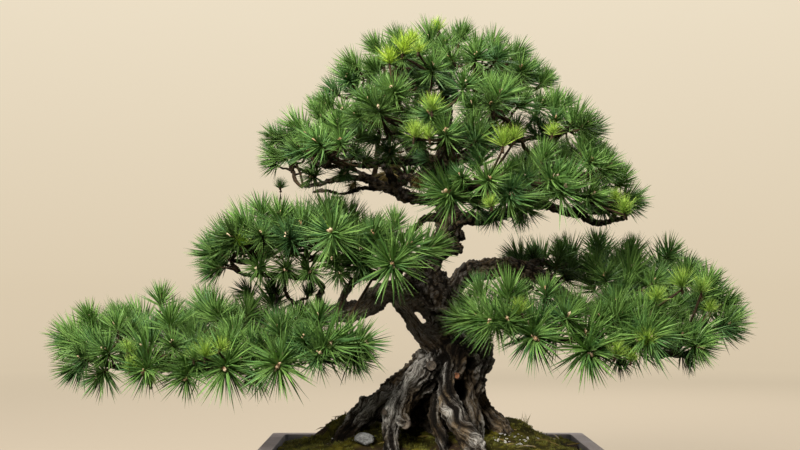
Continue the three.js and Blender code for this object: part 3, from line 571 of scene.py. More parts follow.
def rings(route, step):
    """Rings about every step millimetres: middle, tangent, radius, a way across and the length so far."""
    rough = sum((Vector(b[:3]) - Vector(a[:3])).length for a, b in zip(route, route[1:]))
    count = max(2, round(rough / step))
    across, length, last, made = None, 0.0, None, []
    for index in range(count + 1):
        middle, tangent, radius = curve_point(route, index / count)
        if across is None:
            across = Vector((0, 0, 1)).cross(tangent)
            across = across if across.length > 0.1 else Vector((1, 0, 0))
        across = (across - tangent * across.dot(tangent)).normalized()
        middle = middle + gnarled(middle, radius)
        length += (middle - last).length if last else 0.0
        last = middle
        made.append((middle, tangent, radius, across, length))
    return made


def gnarled(middle, radius):
    """How far old wood's slow crookedness moves a place on a limb: most on thin limbs, and not low down."""
    share = 5.5 * ease((15 - radius) / 10) * ease((middle.z - 165) / 40)
    return drift(middle / 26, 7.3) * share


def tube_line(route, step=6.0):
    return [(at(*middle), radius * MM) for middle, _, radius, _, _ in rings(route, step)]


# The wood: fused, then given its relief of cords, plates, knots and hollows

# Places with a size: knots and hollows also have a height or depth, and brown wood has a share
KNOTS = [
    (-55, -66, 135, 8, 5), (-62, -30, 150, 11, 6), (44, -34, 205, 12, 6), (38, -30, 232, 9, 5),
    (28, -22, 300, 9, 5), (70, 0, 318, 8, 4), (52, 2, 318, 7, 4), (-70, -12, 262, 8, 4),
    (-110, -20, 258, 8, 4), (38, -6, 290, 9, 4), (-14, -30, 286, 10, 5), (52, -6, 372, 8, 4),
    (-24, -20, 206, 7, 5), (-34, -14, 190, 8, 5), (-66, -12, 168, 9, 6), (-84, -20, 146, 8, 5),
    (-46, -14, 180, 7, 5), (-60, -14, 268, 30, 3.4), (-96, -16, 252, 24, 2.6), (76, -18, 206, 6, 4),
    (60, -22, 158, 7, 4), (72, 0, 126, 9, 5), (-24, -46, 152, 9, 4), (20, -64, 140, 8, 4),
]
HOLLOWS = [
    (33, -36, 157, 11, 13), (-14, -38, 168, 8, 7), (50, -36, 188, 7, 6), (14, -40, 196, 6, 5),
]
# Dark wood that stays unpale: partly the dark moss-covered root on the right, partly painted shade in the
# deep gap between the roots.
DARK_AND_GAP_SHADED_WOOD = [
    (84, 4, 112, 30), (66, 10, 140, 22), (14, -10, 128, 44), (-60, -4, 196, 14), (-96, -10, 150, 16),
]
SHADED_WOOD = [
    (26, -20, 286, 30), (34, -16, 262, 22), (20, -10, 316, 18), (-6, -26, 294, 26),
]
BROWN_WOOD = [
    (-28, -14, 250, 26, 1.0), (-12, -18, 222, 22, 1.0), (-36, -10, 276, 20, 0.9), (-62, -14, 268, 34, 0.9),
    (-100, -22, 252, 34, 0.8), (-20, -24, 284, 20, 0.35), (16, -20, 250, 24, 0.3), (66, -20, 176, 32, 0.6),
    (58, -24, 120, 32, 0.5), (-50, -50, 130, 30, 0.5), (-86, -18, 138, 26, 0.5), (70, -8, 306, 30, 0.2),
]
# Where pale wood ends and only dark bark is left, how slowly the grain turns round a limb, the plates' size,
# and how far a mark on the wood fades out
PALE_TOP, DARK_TOP = 195, 310
TWIST = 80
PLATE = (6.5, 6.5, 9.5)
FADE = 1.5
# Cords: their size round the limb and along it, and what tells one limb's and one kind's noise from another.
# The level is the height of a cord or plate that leaves the wood's own surface where it is
CORDS = ((14, 70, 3.7, 0), (6.0, 42, 1.9, 5), (2.6, 24, 2.3, 9))
LEVEL = 0.6
# The radius from which a limb has the deepest relief, and how far each kind stands out in millimetres: on the
# thinnest limb, and on one of that radius
STOUT = 24
FLAKES, CRACKS, LUMPS, JAGS = (0.9, 1.9), (1.1, 3.4), (0.8, 3.6), (0.9, 3.0)


def limb_places():
    """Every ring of every limb, with a tree to find the nearest ones."""
    routes = [TRUNK, STRAND, *BRIDGES, *ROOTS, *STUBS, *BRANCHES.values(), *SIDE_LIMBS]
    places = [(index, *ring) for index, route in enumerate(routes) for ring in rings(route, 5.0)]
    finder = kdtree.KDTree(len(places))
    for number, place in enumerate(places):
        finder.insert(place[1], number)
    finder.balance()
    return places, finder


def limb_coordinates(point, places, finder):
    """The limb that a point lies on: its number and radius, the way along it and the angle round it."""
    nearest = min(finder.find_n(point, 10), key=lambda found: found[2] / places[found[1]][3])
    index, middle, tangent, radius, across, length = places[nearest[1]]
    away = point - middle
    angle = math.atan2(away.dot(tangent.cross(across)), away.dot(across))
    return index, radius, length + away.dot(tangent), angle


def cords(place, sharpness=2.4):
    """Rounded ridges with sharp creases between them, 0 in a crease and 1 on a ridge."""
    return min(1.0, abs(noise.noise(place)) * sharpness)


def bark_relief(point, places, finder):
    """The bark's height over the plain limb in millimetres, its three marks, and its place in the grain."""
    limb, radius, along, angle = limb_coordinates(point, places, finder)
    low = 1 - ease((point.z - PALE_TOP) / (DARK_TOP - PALE_TOP))
    thick = min(1.0, radius / STOUT)
    dim = max(ease(FADE - away_from(point, place, size)) for *place, size in SHADED_WOOD)
    worn = max(share * ease(FADE - away_from(point, place, size)) for *place, size, share in BROWN_WOOD)
    twist = angle + along / TWIST + (0.6 * noise.noise(point / 31) + 0.3 * noise.noise(point / 13))
    around = Vector((math.cos(twist), math.sin(twist), 0)) * (radius + 3)
    wide, middle, narrow = (cords(around / across + Vector((kind, 0, along / run + limb * step)))
                            for across, run, step, kind in CORDS)
    flaky = cords(Vector((point.x / 6, point.y / 6, point.z / 10 + limb)), 3.2)
    cells = noise.voronoi(Vector([value / size for value, size in zip(point, PLATE)]))
    crack = min(1.0, (cells[0][1] - cells[0][0]) * 3.6)
    lump = noise.noise(point / 19 + Vector((limb, 0, 0)))
    jag = cords(point / 7 + Vector((limb, 4, 0)), 2.0) - 0.5
    corded = (wide - LEVEL) * radius * 0.27 + (middle - LEVEL) * (1.5 + radius * 0.1) + (narrow - LEVEL) * 1.5
    plated = (flaky - LEVEL) * blend(*FLAKES, thick) + (crack - LEVEL) * blend(*CRACKS, thick)
    plated += (wide - LEVEL) * 3.2 * thick + (middle - LEVEL) * 2.2 * thick
    plated = blend(plated, (wide - LEVEL) * 4.0 + (narrow - LEVEL) * 1.6, 0.75 * dim)
    height = blend(plated, corded, low) + lump * blend(*LUMPS, thick)
    height += jag * blend(*JAGS, thick * (1 - 0.5 * dim))
    height += noise.noise(point / 3.4) * 0.7
    deep = blend(0.5 * flaky + 0.3 * crack + 0.2 * middle, 0.38 * wide + 0.38 * middle + 0.24 * narrow, low)
    height, relief = knotted(point, height, deep * 1.15 - 0.05)
    relief += 0.36 * worn
    pale = paleness(point, radius, low, worn)
    drawn = blend(noise.cell(Vector(cells[1][0]) * 7.31) % 1.0, 1.0, 0.8 * worn) * (1 - 0.6 * dim)
    height *= blend(0.25, 1.0, ease(away_from(point, *WINDOW) - 0.35))
    return height, (min(max(relief, 0.0), 1.0), pale, drawn), (around.x, around.y, along / 9 + limb * 37)


def knotted(point, height, relief):
    """The bark's height and its relief mark, with knots raised, and hollows sunk and given painted shade by a
    lower relief mark.
    """
    for *place, size, rise in KNOTS:
        away = away_from(point, place, size)
        height += rise * max(0.0, 1 - away * away)
    for *place, size, depth in HOLLOWS:
        sunk = ease(FADE - away_from(point, place, size))
        height -= depth * sunk
        # Painted shade in the hollows.
        relief -= 0.9 * sunk
    return height, relief


def paleness(point, radius, low, worn):
    """How pale and bare the wood is: in patches low on the tree, and least on stout parts, on brown parts,
    and on dark parts, partly dark roots under moss and partly painted shade in the gap between the roots.
    """
    pale = low * ease(0.62 + 1.5 * noise.noise(point / 30) - 0.25 * ease((radius - 20) / 20))
    pale = blend(pale, 0.12, worn * ease((point.z - 190) / 20))
    for *place, size in DARK_AND_GAP_SHADED_WOOD:
        pale *= ease(away_from(point, place, size) - 0.4)
    return pale


def carve_bark(mesh, places, finder):
    """Moves the fused wood's points along their normals by the bark's height, and writes marks and grain."""
    offset = Vector((POT_MIDDLE.x, POT_MIDDLE.y, 0))
    normals = [Vector(normal.vector) for normal in mesh.vertex_normals]
    colours = np.ones((len(mesh.vertices), 4), dtype=np.float32)
    fibres = np.empty((len(mesh.vertices), 3), dtype=np.float32)
    moved = np.empty((len(mesh.vertices), 3), dtype=np.float32)
    for vertex in mesh.vertices:
        height, values, fibre = bark_relief((vertex.co - offset) / MM, places, finder)
        colours[vertex.index, :3] = values
        fibres[vertex.index] = fibre
        moved[vertex.index] = vertex.co + normals[vertex.index] * (height * MM)
    mesh.vertices.foreach_set("co", moved.ravel())
    mesh.attributes.new("bark", "FLOAT_COLOR", "POINT").data.foreach_set("color", colours.ravel())
    mesh.attributes.new("fibre", "FLOAT_VECTOR", "POINT").data.foreach_set("vector", fibres.ravel())
    mesh.update()
    mesh.shade_smooth()


def split_routes():
    """Limbs of the old wood, and those of the young branches, which start a little inside it."""
    cut = next(index for index, place in enumerate(TRUNK) if place[2] > OLD_WOOD_TOP)
    thick = [route for route in BRANCHES.values() if route[0][3] > THICK_LIMB]
    thin = [route for route in BRANCHES.values() if route[0][3] <= THICK_LIMB]
    old = [TRUNK[:cut + 1], STRAND, *BRIDGES, *ROOTS, *STUBS, *[route[:OLD_PLACES] for route in thick]]
    young = [TRUNK[cut - 1:], *[route[OLD_PLACES - 2:] for route in thick], *thin, *SIDE_LIMBS]
    return old, young


def build_wood(finish):
    """The old wood, which stands for the part's trunk, and the young branches that go on from it."""
    places, finder = limb_places()
    old, young = split_routes()
    for name, routes, voxel, nodes in (("old_wood", old, WOOD_VOXEL, ("trunk",)),
                                       ("branches", young, BRANCH_VOXEL, ())):
        rough = tubes(name, [tube_line(route) for route in routes], LIMB_SIDES)
        fused = from_object(rough, ("REMESH", {"mode": "VOXEL", "voxel_size": voxel}),
                            ("SMOOTH", {"iterations": 3}))
        carve_bark(fused, places, finder)
        piece(name, fused, finish, nodes)


# Cuts: how far across and up, their radius, and how fresh they are. A cut's face is inset in steps: each is a
# share of its radius and a depth in millimetres
SCARS = ((0, 188, 6.2, 0.0), (-31, 120, 6.0, 0.0), (-56, 134, 3.4, 0.0), (30, 175, 4.0, 1.0))
SCAR_INSETS = ((0.16, 0.7), (0.2, -1.3), (0.3, 0.3))


def build_scars(finish):
    """Cuts where old branches were taken off: a shallow ringed disc in a rolled lip, set on the bark."""
    skin = BVHTree.FromObject(bpy.data.objects["old_wood"], bpy.context.evaluated_depsgraph_get())
    work = bmesh.new()
    layer = work.verts.layers.float_color.new("scar")
    for x, z, radius, fresh in SCARS:
        place, normal, _, _ = skin.ray_cast(at(x, -250, z), Vector((0, 1, 0)))
        facing = (normal + Vector((0, -3, 0))).normalized()
        turn = facing.to_track_quat("Z", "Y").to_matrix().to_4x4()
        size = radius * MM
        matrix = Matrix.Translation(place + facing * blend(-0.9, 1.4, fresh) * MM) @ turn
        made = bmesh.ops.create_cone(work, cap_ends=True, segments=16, radius1=size * 1.12, radius2=size,
                                     depth=5 * MM, matrix=matrix)["verts"]
        top = max({face for vert in made for face in vert.link_faces},
                  key=lambda face: (face.calc_center_median() - place).dot(facing))
        before = set(work.verts) - set(made)
        for inset, depth in SCAR_INSETS:
            bmesh.ops.inset_region(work, faces=[top], thickness=size * inset, depth=depth * MM)
        bmesh.ops.poke(work, faces=[top])
        for vert in [vert for vert in work.verts if vert not in before]:
            away = vert.co - place
            vert[layer] = (min((away - facing * away.dot(facing)).length / size, 1.0), fresh, 0.0, 1.0)
            vert.co += drift(vert.co * 330, 9) * 0.0011
    bmesh.ops.recalc_face_normals(work, faces=work.faces)
    piece("healed_cuts", work, finish)


# The foliage

def perches():
    """Points along the branches that sprays can grow from, with the branch's radius there."""
    routes = [*BRANCHES.values(), *SIDE_LIMBS]
    return [(middle, radius) for route in routes for middle, _, radius, _, _ in rings(route, 14.0)[2:]]


def best_perch(places, target, heart):
    """The nearest perch that isn't above the spray or further out than it."""
    def reluctance(perch):
        above = max(0.0, perch[0].z + 6 - target.z)
        outside = (perch[0] - heart).length - (target - heart).length
        return (perch[0] - target).length + 0.8 * above + 0.7 * max(0.0, outside + 20)
    return min(places, key=reluctance)


def needle(work, layer, length, bow, drawn, steps=BOWED):
    """One needle on the Z axis: a three-sided blade that bows to one side and ends in a point."""
    base = bmesh.ops.create_circle(work, cap_ends=True, radius=NEEDLE["width"], segments=3)["verts"]
    verts = list(base)
    ring = list({edge for vert in base for edge in vert.link_edges})
    for vert in base:
        vert[layer] = (0.0, drawn, 0.5, 1.0)
    for part, side, grow in steps:
        raised = bmesh.ops.extrude_edge_only(work, edges=ring)["geom"]
        ring = [item for item in raised if isinstance(item, bmesh.types.BMEdge)]
        top = [item for item in raised if isinstance(item, bmesh.types.BMVert)]
        middle = sum((vert.co for vert in top), Vector()) / 3
        place = Vector((side * bow, 0, length * part))
        for vert in top:
            vert.co = place + (vert.co - middle) * grow
            vert[layer] = (part, drawn, 0.5, 1.0)
        verts += top
    bmesh.ops.remove_doubles(work, verts=top, dist=1e-6)
    return [vert for vert in verts if vert.is_valid]


def tuft_kind(seed, pairs, spread, steps):
    """One master tuft on the Z axis, with its points: paired needles round a shoot, splayed at its foot."""
    draw = random.Random(seed)
    work = bmesh.new()
    layer = work.verts.layers.float_color.new("tone")
    lopsided = draw.uniform(0, math.tau)
    for index in range(pairs):
        rise = (index + 0.5) / pairs
        turn = index * GOLDEN_ANGLE + draw.uniform(-0.3, 0.3)
        lean = math.radians(blend(94, 22, rise**0.85) * spread + draw.uniform(-6, 6))
        length = NEEDLE["length"] * draw.uniform(0.74, 1.05) * blend(1.0, 0.84, max(0.0, rise - 0.6) / 0.4)
        length *= 0.94 + 0.06 * math.cos(turn - lopsided)
        drawn = draw.random()
        for side in (-1, 1):
            long, bow = length * draw.uniform(0.96, 1.0), NEEDLE["bow"] * draw.uniform(-0.5, 1.2)
            shade = min(max(drawn + draw.uniform(-0.12, 0.12), 0.0), 1.0)
            verts = needle(work, layer, long, bow, shade, steps if side > 0 else STRAIGHT)
            roll = Matrix.Rotation(draw.uniform(-0.7, 0.7) + math.pi, 4, "Z")
            apart = Matrix.Rotation(math.radians(side * draw.uniform(1.5, 6)), 4, "X")
            tilt = Matrix.Rotation(lean, 4, "Y")
            spin = Matrix.Rotation(turn, 4, "Z")
            foot = Matrix.Translation((0, 0, SHOOT * blend(0.15, 0.96, rise)))
            bmesh.ops.transform(work, matrix=foot @ spin @ tilt @ apart @ roll, verts=verts)
    bmesh.ops.recalc_face_normals(work, faces=work.faces)
    mesh = to_mesh(work, "tuft", smooth=False)
    flat = np.empty(len(mesh.vertices) * 3, dtype=np.float32)
    mesh.vertices.foreach_get("co", flat)
    return mesh, flat.reshape(-1, 3)


def plant(work, kind, foot, axis, size, turn, tone):
    """Sets a tuft down at a place in metres, moved just enough that its tips stay inside the overall box."""
    mesh, points = kind
    aim = axis.to_track_quat("Z", "Y").to_matrix().to_4x4()
    matrix = Matrix.Translation(foot) @ aim @ Matrix.Rotation(turn, 4, "Z") @ Matrix.Scale(size, 4)
    turned = points @ np.array(matrix.to_3x3()).T + np.array(matrix.translation)
    low, high = (np.array(corner) for corner in CAD_BOX)
    shift = np.maximum(low + BOX_MARGIN - turned.min(axis=0), 0)
    shift -= np.maximum(turned.max(axis=0) - high + BOX_MARGIN, 0)
    matrix = Matrix.Translation(Vector(shift)) @ matrix
    set_down(work, mesh, matrix, tone)
    return matrix


def spray_tufts(pad, spray):
    """A spray's tufts in millimetres: foot, way it points, tone, size and whether it fills the inside. The
    tone is painted light and shade: higher on tufts facing up, lower on inner rings and towards the back.
    """
    target = Vector(spray)
    out = ((target - Vector(pad["heart"])).normalized() + Vector((0, 0, pad["lift"]))).normalized()
    side_a = Vector((0.31, 0.17, 1)).cross(out).normalized()
    side_b = out.cross(side_a)
    start = rng.uniform(0, math.tau)
    tufts = [(target, out, 0.6 + vary(0.08), 1.1, False)]
    for count, spread, back, forward, tone in RINGS[:pad["rings"]]:
        inside = back > 10
        for index in range(count):
            turn = start + index * math.tau / count + vary(0.35)
            aside = side_a * math.cos(turn) + side_b * math.sin(turn)
            if aside.z < (-0.1 if inside else -0.75):
                continue
            foot = target + flattened(aside) * pad["spread"] * (spread + vary(0.15)) - out * (back + vary(7))
            axis = (out * forward + flattened(aside) * 0.75 + Vector((0, 0, 0.25))).normalized()
            # Painted shade on tufts further back, painted light on tufts that face up.
            shaded = 0.22 * ease((foot.y - 20) / 90)
            tufts.append((foot, axis, tone + 0.2 * aside.z + vary(0.14) - shaded, 0.84 + vary(0.16), inside))
        start += 0.6
    return tufts


def flattened(way):
    """A way with its downward part drawn in, because shoots turn up to the light."""
    return Vector((way.x, way.y, way.z * (0.35 if way.z < 0 else 1.0)))


# Tufts set one by one: foot, the way they point, tone and size. Large ones hang in front; those behind have a
# low tone, painted shade
LONE_TUFTS = [
    ((26, -116, 384), (-0.35, -0.8, 0.2), 0.6, 1.5), ((52, -104, 376), (0.1, -0.9, 0.1), 0.46, 0.95),
    ((84, -130, 380), (0.1, -0.9, 0.2), 0.6, 1.45), ((108, -104, 372), (0.1, -0.8, 0.0), 0.4, 0.9),
    ((148, -110, 386), (0.1, -0.8, 0.4), 0.6, 1.4), ((176, -100, 384), (0.5, -0.7, 0.3), 0.56, 1.05),
    ((204, -60, 376), (0.3, -0.7, 0.1), 0.4, 0.9), ((106, -60, 368), (0.0, -0.5, -0.5), 0.24, 0.56),
    ((74, -80, 368), (-0.1, -0.8, -0.3), 0.3, 0.8), ((16, -90, 398), (-0.6, -0.6, 0.1), 0.5, 0.95),
    ((-60, -40, 566), (-0.6, -0.2, 0.8), 0.5, 0.85), ((-36, -10, 584), (-0.4, 0.0, 0.9), 0.45, 0.8),
    ((-86, -44, 544), (-0.7, -0.3, 0.6), 0.5, 0.9), ((36, -10, 588), (0.3, 0.0, 0.9), 0.45, 0.8),
    ((72, -20, 576), (0.6, -0.1, 0.7), 0.45, 0.85), ((98, -40, 560), (0.7, -0.2, 0.6), 0.48, 0.85),
    ((-2, -150, 470), (-0.2, -0.9, 0.4), 0.58, 1.0), ((-42, -130, 500), (-0.3, -0.8, 0.5), 0.55, 0.95),
    ((34, -128, 506), (0.2, -0.8, 0.5), 0.55, 0.95), ((0, -96, 532), (0.0, -0.8, 0.6), 0.55, 0.95),
    ((-94, 10, 416), (-0.3, -0.3, -0.7), 0.0, 0.5), ((-50, 40, 434), (-0.3, -0.4, -0.6), 0.0, 0.7),
    ((-14, 44, 430), (0.2, -0.4, -0.5), 0.0, 0.7), ((-34, 60, 440), (-0.5, -0.2, 0.2), 0.02, 0.7),
    ((-196, 40, 272), (-0.3, -0.1, 0.9), 0.1, 0.6), ((-156, 30, 268), (0.3, -0.1, 0.9), 0.1, 0.55),
    ((-226, 40, 268), (-0.6, 0.0, 0.7), 0.14, 0.7), ((-190, 20, 406), (0.1, 0.0, 1.0), 0.05, 0.4),
    ((120, 26, 306), (-0.6, 0.0, 0.6), 0.08, 0.56), ((134, 34, 312), (-0.1, 0.0, 0.9), 0.1, 0.56),
    ((-330, -94, 190), (-0.1, -0.8, -0.25), 0.55, 1.0), ((-240, -98, 194), (0.1, -0.85, -0.2), 0.6, 1.3),
    ((-176, -108, 196), (0.0, -0.95, -0.15), 0.62, 1.4), ((-386, -60, 184), (-0.4, -0.6, -0.4), 0.5, 0.95),
    ((-286, -86, 184), (0.0, -0.8, -0.4), 0.42, 0.95), ((-206, -90, 186), (0.1, -0.7, -0.5), 0.38, 0.9),
    ((-426, -10, 190), (-0.6, -0.3, -0.4), 0.4, 0.9), ((-128, -112, 214), (0.4, -0.9, 0.1), 0.6, 1.3),
    ((112, -128, 230), (0.05, -0.9, -0.2), 0.6, 1.32), ((174, -126, 214), (0.05, -0.9, -0.25), 0.6, 1.36),
    ((240, -118, 226), (0.15, -0.9, 0.0), 0.6, 1.25), ((302, -84, 214), (0.4, -0.7, -0.1), 0.55, 1.0),
    ((216, -90, 204), (0.2, -0.5, -0.6), 0.06, 0.66), ((294, -70, 206), (0.5, -0.4, -0.5), 0.06, 0.64),
    ((76, -128, 240), (-0.5, -0.85, 0.15), 0.58, 1.15), ((47, -80, 258), (-0.1, -0.7, 0.4), 0.4, 0.7),
    ((76, -80, 252), (0.0, -0.7, 0.4), 0.35, 0.68), ((102, -80, 254), (0.2, -0.8, 0.3), 0.42, 0.72),
    ((130, -84, 246), (0.2, -0.8, 0.3), 0.45, 0.76), ((128, -60, 494), (0.3, -0.6, 0.6), 0.45, 0.85),
    ((100, -60, 468), (0.1, -0.8, 0.3), 0.3, 0.8), ((158, -20, 500), (0.7, -0.2, 0.6), 0.42, 0.8),
    ((-118, -50, 496), (-0.6, -0.4, 0.6), 0.5, 0.85), ((-184, -20, 462), (-0.7, -0.2, 0.5), 0.42, 0.8),
    ((-48, -60, 440), (-0.1, -0.8, 0.3), 0.3, 0.8), ((-140, -50, 416), (-0.3, -0.7, -0.1), 0.22, 0.7),
    ((-104, -50, 420), (0.0, -0.8, -0.1), 0.2, 0.7), ((-258, -10, 322), (-0.9, -0.2, 0.3), 0.36, 0.8),
    ((-254, -24, 306), (-0.8, -0.4, -0.2), 0.32, 0.8), ((-202, -60, 306), (-0.3, -0.8, -0.1), 0.4, 0.8),
    ((-174, -60, 306), (0.0, -0.8, -0.2), 0.3, 0.8), ((-146, -64, 304), (0.1, -0.8, -0.2), 0.35, 0.8),
    ((-112, -60, 300), (0.2, -0.8, -0.1), 0.3, 0.75), ((-84, -90, 306), (0.0, -0.9, 0.0), 0.5, 0.85),
    ((-94, -112, 216), (0.8, -0.6, 0.05), 0.56, 1.05), ((-98, -100, 202), (0.7, -0.6, -0.3), 0.4, 0.9),
    ((-384, 6, 228), (-0.1, -0.3, 0.95), 0.42, 0.85), ((-410, 0, 218), (-0.5, -0.3, 0.8), 0.42, 0.8),
    ((-105, -50, 488), (-0.1, -0.7, 0.5), 0.5, 0.85), ((-46, -130, 306), (0.0, -0.95, 0.05), 0.62, 1.3),
    ((-112, -136, 336), (-0.1, -0.85, 0.3), 0.6, 1.2),
]
# Young shoots: the middle of each small bunch and its size
YOUNG = [
    ((9.5, -16, 612), 0.46), ((-32, -122, 566), 0.66), ((-50, -128, 551), 0.56), ((-22, -112, 576), 0.46),
    ((-16, -140, 558), 0.4), ((-1, -186, 486), 0.56), ((-21, -204, 456), 0.56), ((-8, -204, 452), 0.46),
    ((74, -190, 448), 0.64), ((90, -186, 452), 0.44), ((62, -214, 376), 0.4), ((221, -118, 378), 0.56),
    ((212, -112, 390), 0.42), ((226, -100, 372), 0.4), ((-258, -136, 214), 0.6), ((-272, -130, 208), 0.46),
    ((-240, -134, 218), 0.44), ((-352, -104, 214), 0.44), ((-348, -112, 196), 0.5),
    ((-324, -110, 178), 0.46), ((140, -124, 465), 0.44), ((204, -158, 214), 0.5), ((240, -152, 227), 0.56),
    ((222, -150, 206), 0.4), ((292, -98, 294), 0.66), ((318, -84, 286), 0.56), ((262, -110, 276), 0.56),
    ((330, -70, 262), 0.5), ((95, -160, 262), 0.5), ((-116, -120, 350), 0.4), ((-224, -80, 340), 0.5),
]


def grow_pad(name, pad, kinds, bud, places, finishes):
    """A pad's needles, twigs and buds. The first needle piece stands for the pad's sprays."""
    outer, inner, buds, wood = bmesh.new(), bmesh.new(), bmesh.new(), []
    heart = Vector(pad["heart"])
    scale = pad["needle"] * MM / NEEDLE["length"]
    for spray in pad["sprays"]:
        target = Vector(spray)
        perch, thick = best_perch(places, target, heart)
        reach = target - perch
        knee = perch + reach * 0.5 + Vector((-reach.y, reach.x, 0)) * 0.12 * rng.choice((-1, 1))
        knee.z -= 0.1 * reach.length
        start, neck, tip = min(thick * 0.85, STEM[0]), *STEM[1:]
        stem = [(*perch, start), (*knee, start * 0.8 + 0.3), (*(target - reach * 0.08), neck), (*target, tip)]
        wood.append(crooked(tube_line(stem, 5.0), 0.0011))
        for number, (foot, axis, tone, size, fills) in enumerate(spray_tufts(pad, spray)):
            kind = rng.choice(STARS if axis.y < -0.5 else FANS) + (len(SPREADS) if fills else 0)
            matrix = plant(inner if fills else outer, kinds[kind], at(*foot), axis, size * scale,
                           rng.uniform(0, math.tau), min(max(tone, DARKEST), PALEST))
            if number:
                leave, _, _ = curve_point(stem, blend(0.3, 0.9, rng.random()))
                wood.append(twig_line(at(*leave), matrix))
            if not fills:
                set_down(buds, bud, matrix @ Matrix.Translation((0, 0, SHOOT)))
                wood.append(shoot_line(matrix))
    nodes = [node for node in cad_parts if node.startswith(f"{name}_spray")]
    piece(f"{name}_outer_needles", outer, finishes["needles"], nodes, smooth=False)
    piece(f"{name}_inner_needles", inner, finishes["needles"], smooth=False)
    piece(f"{name}_buds", buds, finishes["buds"])
    twig_piece(f"{name}_twigs", wood, finishes["twigs"])


def grow_lone_tufts(kinds, bud, places, finishes):
    """The tufts that are set one by one, each on a twig of its own from the nearest branch."""
    work, buds, wood = bmesh.new(), bmesh.new(), []
    for index, (foot, way, tone, size) in enumerate(LONE_TUFTS):
        kind = (STARS if way[1] < -0.45 else FANS)[index % 3]
        foot, size = Vector(foot), size * (0.86 if foot[2] > 360 else 1.0)
        matrix = plant(work, kinds[kind], at(*foot), Vector(way).normalized(), size, index * 1.3, tone)
        set_down(buds, bud, matrix @ Matrix.Translation((0, 0, SHOOT)))
        leave = min(places, key=lambda perch: (perch[0] - foot).length)[0]
        wood += [twig_line(at(*leave), matrix), shoot_line(matrix)]
    piece("lone_needles", work, finishes["needles"], smooth=False)
    piece("lone_buds", buds, finishes["buds"])
    twig_piece("lone_twigs", wood, finishes["twigs"])


def grow_young_shoots(kinds, places, finishes):
    """Small bunches of yellow-green needles in front of the old ones, each on its own candles and twig."""
    work, candles = bmesh.new(), []
    starts = [perch for perch, _ in places] + [Vector(tuft[0]) for tuft in LONE_TUFTS]
    starts += [Vector(spray) for pad in PADS.values() for spray in pad["sprays"]]
    for place, size in YOUNG:
        upright = Vector((vary(0.3), -0.25 + vary(0.2), 1)).normalized()
        foot = at(*place) - upright * 0.024 * size
        leave = min(starts, key=lambda start: (start - Vector(place)).length)
        tone = blend(0.84, 0.95, ease((place[2] - 430) / 120))
        for index in range(2):
            axis = (upright + Vector((vary(0.5), vary(0.4), 0)) * index).normalized()
            matrix = plant(work, kinds[(1, 3)[index] + len(SPREADS)], foot, axis, size * (1.0 - 0.25 * index),
                           rng.uniform(0, math.tau), tone)
            candles.append([(matrix @ Vector((0, 0, SHOOT * part)), 0.0013) for part in (-0.5, 0.2, 0.95)])
            if not index:
                candles.append(twig_line(at(*leave), matrix, 0.0))
    piece("young_shoots", work, finishes["needles"], smooth=False)
    twig_piece("young_candles", candles, finishes["twigs"])


def crooked(line, amount):
    """A line of (place, radius) made a little crooked and knobbly, with its ends left where they are."""
    made = [line[0]]
    for place, radius in line[1:-1]:
        shift = Vector((vary(amount), vary(amount), vary(amount)))
        made.append((place + shift, radius * rng.uniform(0.85, 1.25)))
    return [*made, line[-1]]


def twig_line(leave, matrix, bend=0.35):
    """A twig from a stem to a tuft's foot, which arrives along the tuft's own way unless it has no bend."""
    foot = matrix.translation
    arrive = (foot + leave) / 2
    if bend:
        arrive = foot - (matrix.to_3x3() @ Vector((0, 0, 1))).normalized() * (foot - leave).length * bend
    line = []
    for index in range(6):
        part = index / 5
        place = leave * (1 - part) ** 2 + arrive * 2 * part * (1 - part) + foot * part**2
        line.append((place, blend(0.0016, 0.0013, part)))
    return crooked(line, 0.0008)


def shoot_line(matrix):
    """The slim shoot inside a tuft, that its needles stand on."""
    return [(matrix @ Vector((0, 0, SHOOT * part)), radius * MM) for part, radius in
            ((-0.05, 1.3), (0.25, 1.9), (0.6, 1.7), (0.95, 1.4))]


def set_down(work, kind, matrix, tone=None):
    """A copy of a small mesh, turned and moved into place, with its tone where it has one."""
    mesh = kind.copy()
    mesh.transform(matrix)
    if tone is not None:
        values = np.empty(len(mesh.vertices) * 4, dtype=np.float32)
        data = mesh.attributes["tone"].data
        data.foreach_get("color", values)
        values[2::4] = tone
        data.foreach_set("color", values)
    work.from_mesh(mesh)
    bpy.data.meshes.remove(mesh)


def bud_kind():
    """A cluster of pointed winter buds at the origin: a long one and two short ones beside it."""
    work = bmesh.new()
    width, length = BUD
    for side, size, tip in ((0.0, 1.0, 0.0), (1.0, 0.72, 0.5), (-1.0, 0.66, -0.55)):
        shape = Matrix.Diagonal((width * size, width * size, length * size, 1.0))
        turned = Matrix.Rotation(tip, 4, "Y") @ shape
        place = Matrix.Translation((side * width * 0.9, 0.0004 * side, length * (0.5 - 0.12 * abs(side))))
        bmesh.ops.create_uvsphere(work, u_segments=5, v_segments=4, radius=1.0, matrix=place @ turned)
    return to_mesh(work, "bud")


def build_foliage(finishes):
    """All needles, buds and twigs, from a few kinds of tuft: fuller ones outside, leaner ones inside."""
    kinds = [tuft_kind(seed + index, PAIRS[where], spread, steps)
             for where, seed, steps in (("outer", 90, BOWED), ("inner", 70, STRAIGHT))
             for index, spread in enumerate(SPREADS)]
    bud = bud_kind()
    places = perches()
    for name, pad in PADS.items():
        grow_pad(name, pad, kinds, bud, places, finishes)
    grow_lone_tufts(kinds, bud, places, finishes)
    grow_young_shoots(kinds, places, finishes)
    for mesh in (*[mesh for mesh, _ in kinds], bud):
        bpy.data.meshes.remove(mesh)


# Moss, soil, grit and grass

